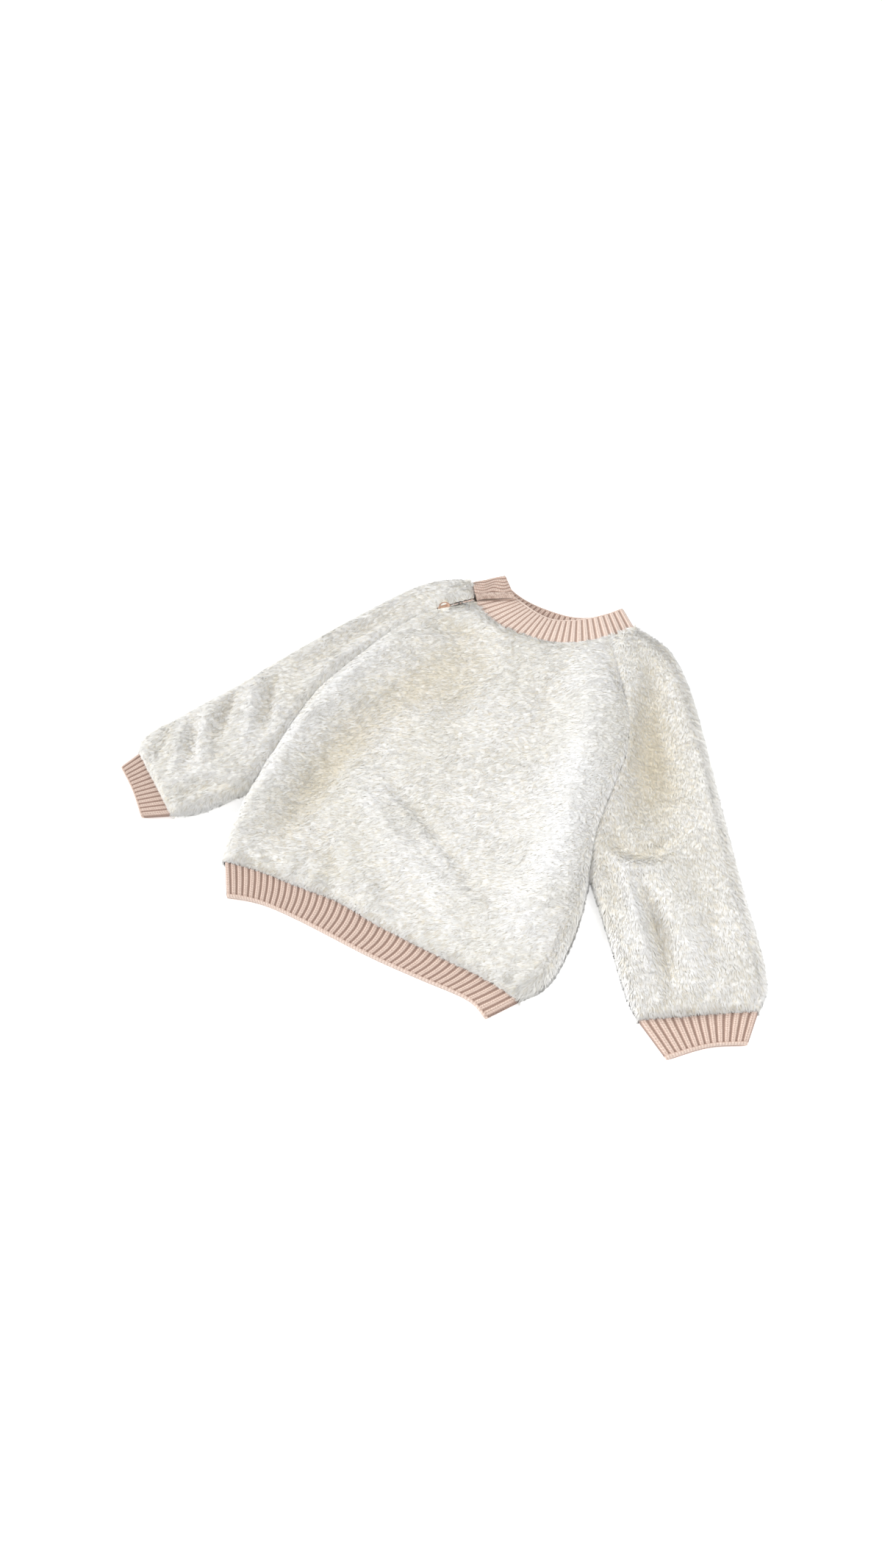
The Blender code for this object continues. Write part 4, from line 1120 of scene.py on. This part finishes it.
def add_cuff(hand, seam_line, free):
    """A cuff as a flattened tube: knit outside all round, and a plain inside that is two rows deep."""
    knit = knit_grid(Path(seam_line, curved=False), Path(free), CUFF_RIBS)
    ends = [(end, BAND_MIDDLE, BAND_ROLL) for end in band_ends(knit.plan)]
    height, shade = knit_relief(knit)
    rounding = edge_rounding(knit)
    rise = puffed(BAND_FRONT_TOP, ends) + RIB_RELIEF * height - BAND_FRONT_FLOOR
    top = BAND_FRONT_FLOOR + rise * rounding
    base = puffed(0.0, ends)
    bottom = BAND_BACK_TOP - (BAND_BACK_TOP - base - back_dip(height, base)) * rounding
    top[:, [0, -1]] = bottom[:, [0, -1]] = (top[:, [0, -1]] + bottom[:, [0, -1]]) / 2
    inside = shortened(knit.plan, RIB_WALL)[[-1, 0]]
    upper = np.concatenate([at_height(knit.plan, top), at_height(inside, BAND_FRONT_FLOOR)])
    lower = np.concatenate([at_height(knit.plan, bottom), at_height(inside, BAND_BACK_TOP)])
    ring = np.concatenate([upper, lower[:, -2:0:-1]], axis=1)
    # The plain inside is darker by half: painted shade.
    tones = np.concatenate([shade, shade[[-1, 0]] * INSIDE_SHADE])
    tones = np.concatenate([tones, tones[:, -2:0:-1]], axis=1)
    grid = numbered(ring)
    faces = quads(ringed(np.vstack([grid, grid[:1]])))
    piece = add_mesh(f"cuff_rib_{hand}", ring.reshape(-1, 3), [faces], RIB, tones)
    return stand_for(piece, f"cuff_{hand}")


def neckbands():
    seam = Path(np.vstack([front.sheet.plan[-1], right_above.sheet.plan[-1]]), curved=False)
    knit = knit_grid(seam, Path(NECK_FREE_FRONT), NECK_RIBS, skew=NECK_SKEW)
    from_left, to_right = band_ends(knit.plan)
    leaning_floor = NECK_FREE_FLOOR + (NECK_FLOOR - NECK_FREE_FLOOR) * down_rows(knit.plan, NECK_LEANS)
    floor = NECK_END_FLOOR + (leaning_floor - NECK_END_FLOOR) * smoothstep(to_right / NECK_SETTLE)
    height, shade = knit_relief(knit)
    ends = ((to_right, BAND_END_WALL, BAND_ROLL), (from_left, RIB_WALL, BAND_ROLL))
    top = floor + (puffed(RIB_WALL, ends) + RIB_RELIEF * height) * edge_rounding(knit)
    # The front neckband is made lighter than the other bands: painted light.
    shade_with_painted_light = shade + NECK_PAINTED_LIGHT
    above = add_strip("neck_rib_front", "neckband_front", knit.plan, top, floor, shade_with_painted_light)
    back_rows = [left_below.sheet.plan[-1][::-1], back.sheet.plan[-1], right_below.sheet.plan[-1]]
    knit = knit_grid(Path(np.vstack(back_rows), curved=False), Path(NECK_FREE_BACK), NECK_RIBS)
    height, shade = knit_relief(knit)
    bottom = puffed(0.0, [(end, NECK_BACK_END, BAND_ROLL) for end in band_ends(knit.plan)])
    top = bottom + (BAND_BACK_TOP - RIB_RELIEF + RIB_RELIEF * height - bottom) * edge_rounding(knit)
    below = add_strip("neck_rib_back", "neckband_back", knit.plan, top, bottom, shade)
    return above, below


def neck_tab():
    """The back neckband's end, which turns over at the shoulder and laps the front one in a rolled bead."""
    seam, free = (Path(line, curved=False) for line in zip(TAB_FOLD, TAB_END))
    knit = knit_grid(seam, free, TAB_COLUMNS)
    along = np.broadcast_to(np.linspace(0, 1, knit.plan.shape[1])[None, :], knit.phase.shape)
    arch = np.sin(np.pi * along)
    sway = TAB_SWAY * np.sin(2 * np.pi * knit.from_seam / TAB_SWAY_LENGTH + TAB_SWAY_SLOPE * along) * arch
    height, shade = rib_profile((along * TAB_RIBS / TAB_RIBBED_SHARE + sway) % 1, knit.stitches + sway)
    bead = smoothstep((along - TAB_RIBBED_SHARE) / TAB_BEAD_START)
    twist = ripple(knit.from_seam / STITCH + STRAND_SLOPE * along * TAB_LENGTH / STITCH)
    flecks = Noise(*TAB_FLECKS).at(at_height(knit.plan, 0.0))
    level, gain = TAB_BEAD
    crown = TAB_CROWN * arch * (1 + sway)
    height = TAB_RELIEF * height * (1 - bead) + bead * (level + gain * twist) + crown
    level, gain, fleck_gain = TAB_BEAD_SHADES
    shade = np.clip(shade * (1 - bead) + bead * (level + gain * twist + fleck_gain * flecks), 0, 1)
    end_floor = down_rows(knit.plan, TAB_END_FLOORS)
    floor = BAND_SEAM_FLOOR + (end_floor - BAND_SEAM_FLOOR) * smoothstep(along / TAB_CLIMB_SHARE)
    from_fold = along * TAB_LENGTH
    ends = ((from_fold, TAB_FOLD_WALL, BAND_ROLL), (TAB_LENGTH - from_fold, TAB_END_WALL, TAB_END_ROLL))
    top = floor + (puffed(RIB_WALL, ends) + RIB_RELIEF * height) * edge_rounding(knit)
    return add_strip("neck_tab", "neckband_tab", knit.plan, top, floor, shade)


def build_button():
    """The button: a solid of revolution about its upright axis, from rings of a radius and a height."""
    profile = smoothed(np.array(BUTTON_PROFILE), BUTTON_STEPS)
    turn = np.arange(BUTTON_SIDES) * 2 * np.pi / BUTTON_SIDES
    circle = np.stack([np.cos(turn), np.sin(turn)], axis=-1)
    rings = np.stack([at_height(BUTTON_CENTRE + radius * circle, height) for radius, height in profile])
    poles = [at_height(np.array([BUTTON_CENTRE]), profile[k][1]) for k in (0, -1)]
    grid = numbered(rings)
    fans = [
        np.stack([ring, np.roll(ring, -1), np.full(BUTTON_SIDES, grid.size + k)], axis=1)
        for k, ring in enumerate((grid[0], grid[-1]))
    ]
    points = np.vstack([rings.reshape(-1, 3)] + poles)
    button = add_mesh("button_face", points, [quads(ringed(grid)), np.vstack(fans)], RESIN)
    stand_for(button, "button")


def placket():
    """The narrow knit edging in the slit between the button and the neck: a cord of slanting stitches."""
    line = slit_line(PLACKET_START, PLACKET_POINTS)
    walked = Path(line, curved=False)
    along = (walked.shares * walked.length)[:, None]
    turn = np.linspace(0, 2 * np.pi, PLACKET_SIDES, endpoint=False)[None, :]
    strand = np.cos(2 * np.pi * along / STITCH + PLACKET_TWIST * turn)
    to_end = np.minimum(along, walked.length - along)
    radius = PLACKET_RADIUS * (1 + PLACKET_RELIEF * strand) * roll(to_end / PLACKET_END + PLACKET_END_LEAST)
    across = offset(line, 1.0) - line
    plan = line[:, None] + across[:, None] * (radius * np.cos(turn))[..., None]
    points = at_height(plan, PLACKET_HEIGHT + radius * np.sin(turn))
    grid = numbered(points)
    ends = [
        np.stack([ring[1:-1], ring[2:], np.full(len(ring) - 2, ring[0])], axis=1)
        for ring in (grid[0], grid[-1])
    ]
    level, gain = PLACKET_SHADES
    shades = level + gain * np.broadcast_to(strand, grid.shape)
    faces = [quads(ringed(grid)), np.vstack(ends)]
    piece = add_mesh("placket_cord", points.reshape(-1, 3), faces, RIB, shades)
    return stand_for(piece, "placket_edge")


hem_front, hem_back = hem_bands()
left_cuff = add_cuff("left", left_above.sheet.plan[0], CUFF_LEFT_FREE)
right_cuff = add_cuff("right", right_above.sheet.plan[0], CUFF_RIGHT_FREE)
neck_front, neck_back = neckbands()
tab = neck_tab()
build_button()
placket_cord = placket()


# ---- surroundings

def add_floor():
    mesh = bpy.data.meshes.new("floor")
    corners = [(x * FLOOR_HALF, y * FLOOR_HALF, 0) for x, y in ((-1, -1), (1, -1), (1, 1), (-1, 1))]
    mesh.from_pydata(corners, [], [(0, 1, 2, 3)])
    floor = bpy.data.objects.new("floor", mesh)
    bpy.context.scene.collection.objects.link(floor)
    material, _, shader = new_material("floor_paper", (0.8, 0.8, 0.8), 1.0)
    shader.inputs["Emission Color"].default_value = (1, 1, 1, 1)
    shader.inputs["Emission Strength"].default_value = FLOOR_GLOW
    shader.inputs["Specular IOR Level"].default_value = 0.0
    mesh.materials.append(material)


def add_camera():
    sin_turn, cos_turn = np.sin(CAMERA_TURN), np.cos(CAMERA_TURN)
    sin_up, cos_up = np.sin(CAMERA_ELEVATION), np.cos(CAMERA_ELEVATION)
    forward = Vector((-sin_turn * cos_up, cos_turn * cos_up, -sin_up))
    level = Vector((cos_turn, sin_turn, 0))
    upright = Vector((-sin_turn * sin_up, cos_turn * sin_up, cos_up))
    right = np.cos(CAMERA_ROLL) * level - np.sin(CAMERA_ROLL) * upright
    up = np.sin(CAMERA_ROLL) * level + np.cos(CAMERA_ROLL) * upright
    data = bpy.data.cameras.new("camera")
    data.sensor_width = SENSOR_WIDTH
    data.lens = SENSOR_WIDTH * FOCAL_PIXELS / PHOTO_HEIGHT
    camera = bpy.data.objects.new("camera", data)
    bpy.context.scene.collection.objects.link(camera)
    place = Matrix((right, up, -forward)).transposed().to_4x4()
    aim = Vector((*np.array(CAMERA_AIM) * MM, 0)) + Vector(FRAME_SHIFT)
    place.translation = aim - forward * CAMERA_DISTANCE
    camera.matrix_world = place
    bpy.context.scene.camera = camera


def add_area_light(name, direction, distance, size, power):
    data = bpy.data.lights.new(name, "AREA")
    data.size = size
    data.energy = power
    light = bpy.data.objects.new(name, data)
    toward = Vector(direction).normalized()
    light.matrix_world = toward.to_track_quat("Z", "Y").to_matrix().to_4x4()
    light.location = toward * distance
    bpy.context.scene.collection.objects.link(light)


def add_world():
    """A white studio, equally bright all round."""
    world = bpy.data.worlds.new("studio")
    world.use_nodes = True
    background = world.node_tree.nodes["Background"]
    background.inputs["Color"].default_value = (1, 1, 1, 1)
    background.inputs["Strength"].default_value = WORLD_LEVEL
    bpy.context.scene.world = world


add_floor()
add_camera()
add_world()
for light in LIGHTS:
    add_area_light(*light)
bpy.context.scene.view_settings.view_transform = "Standard"
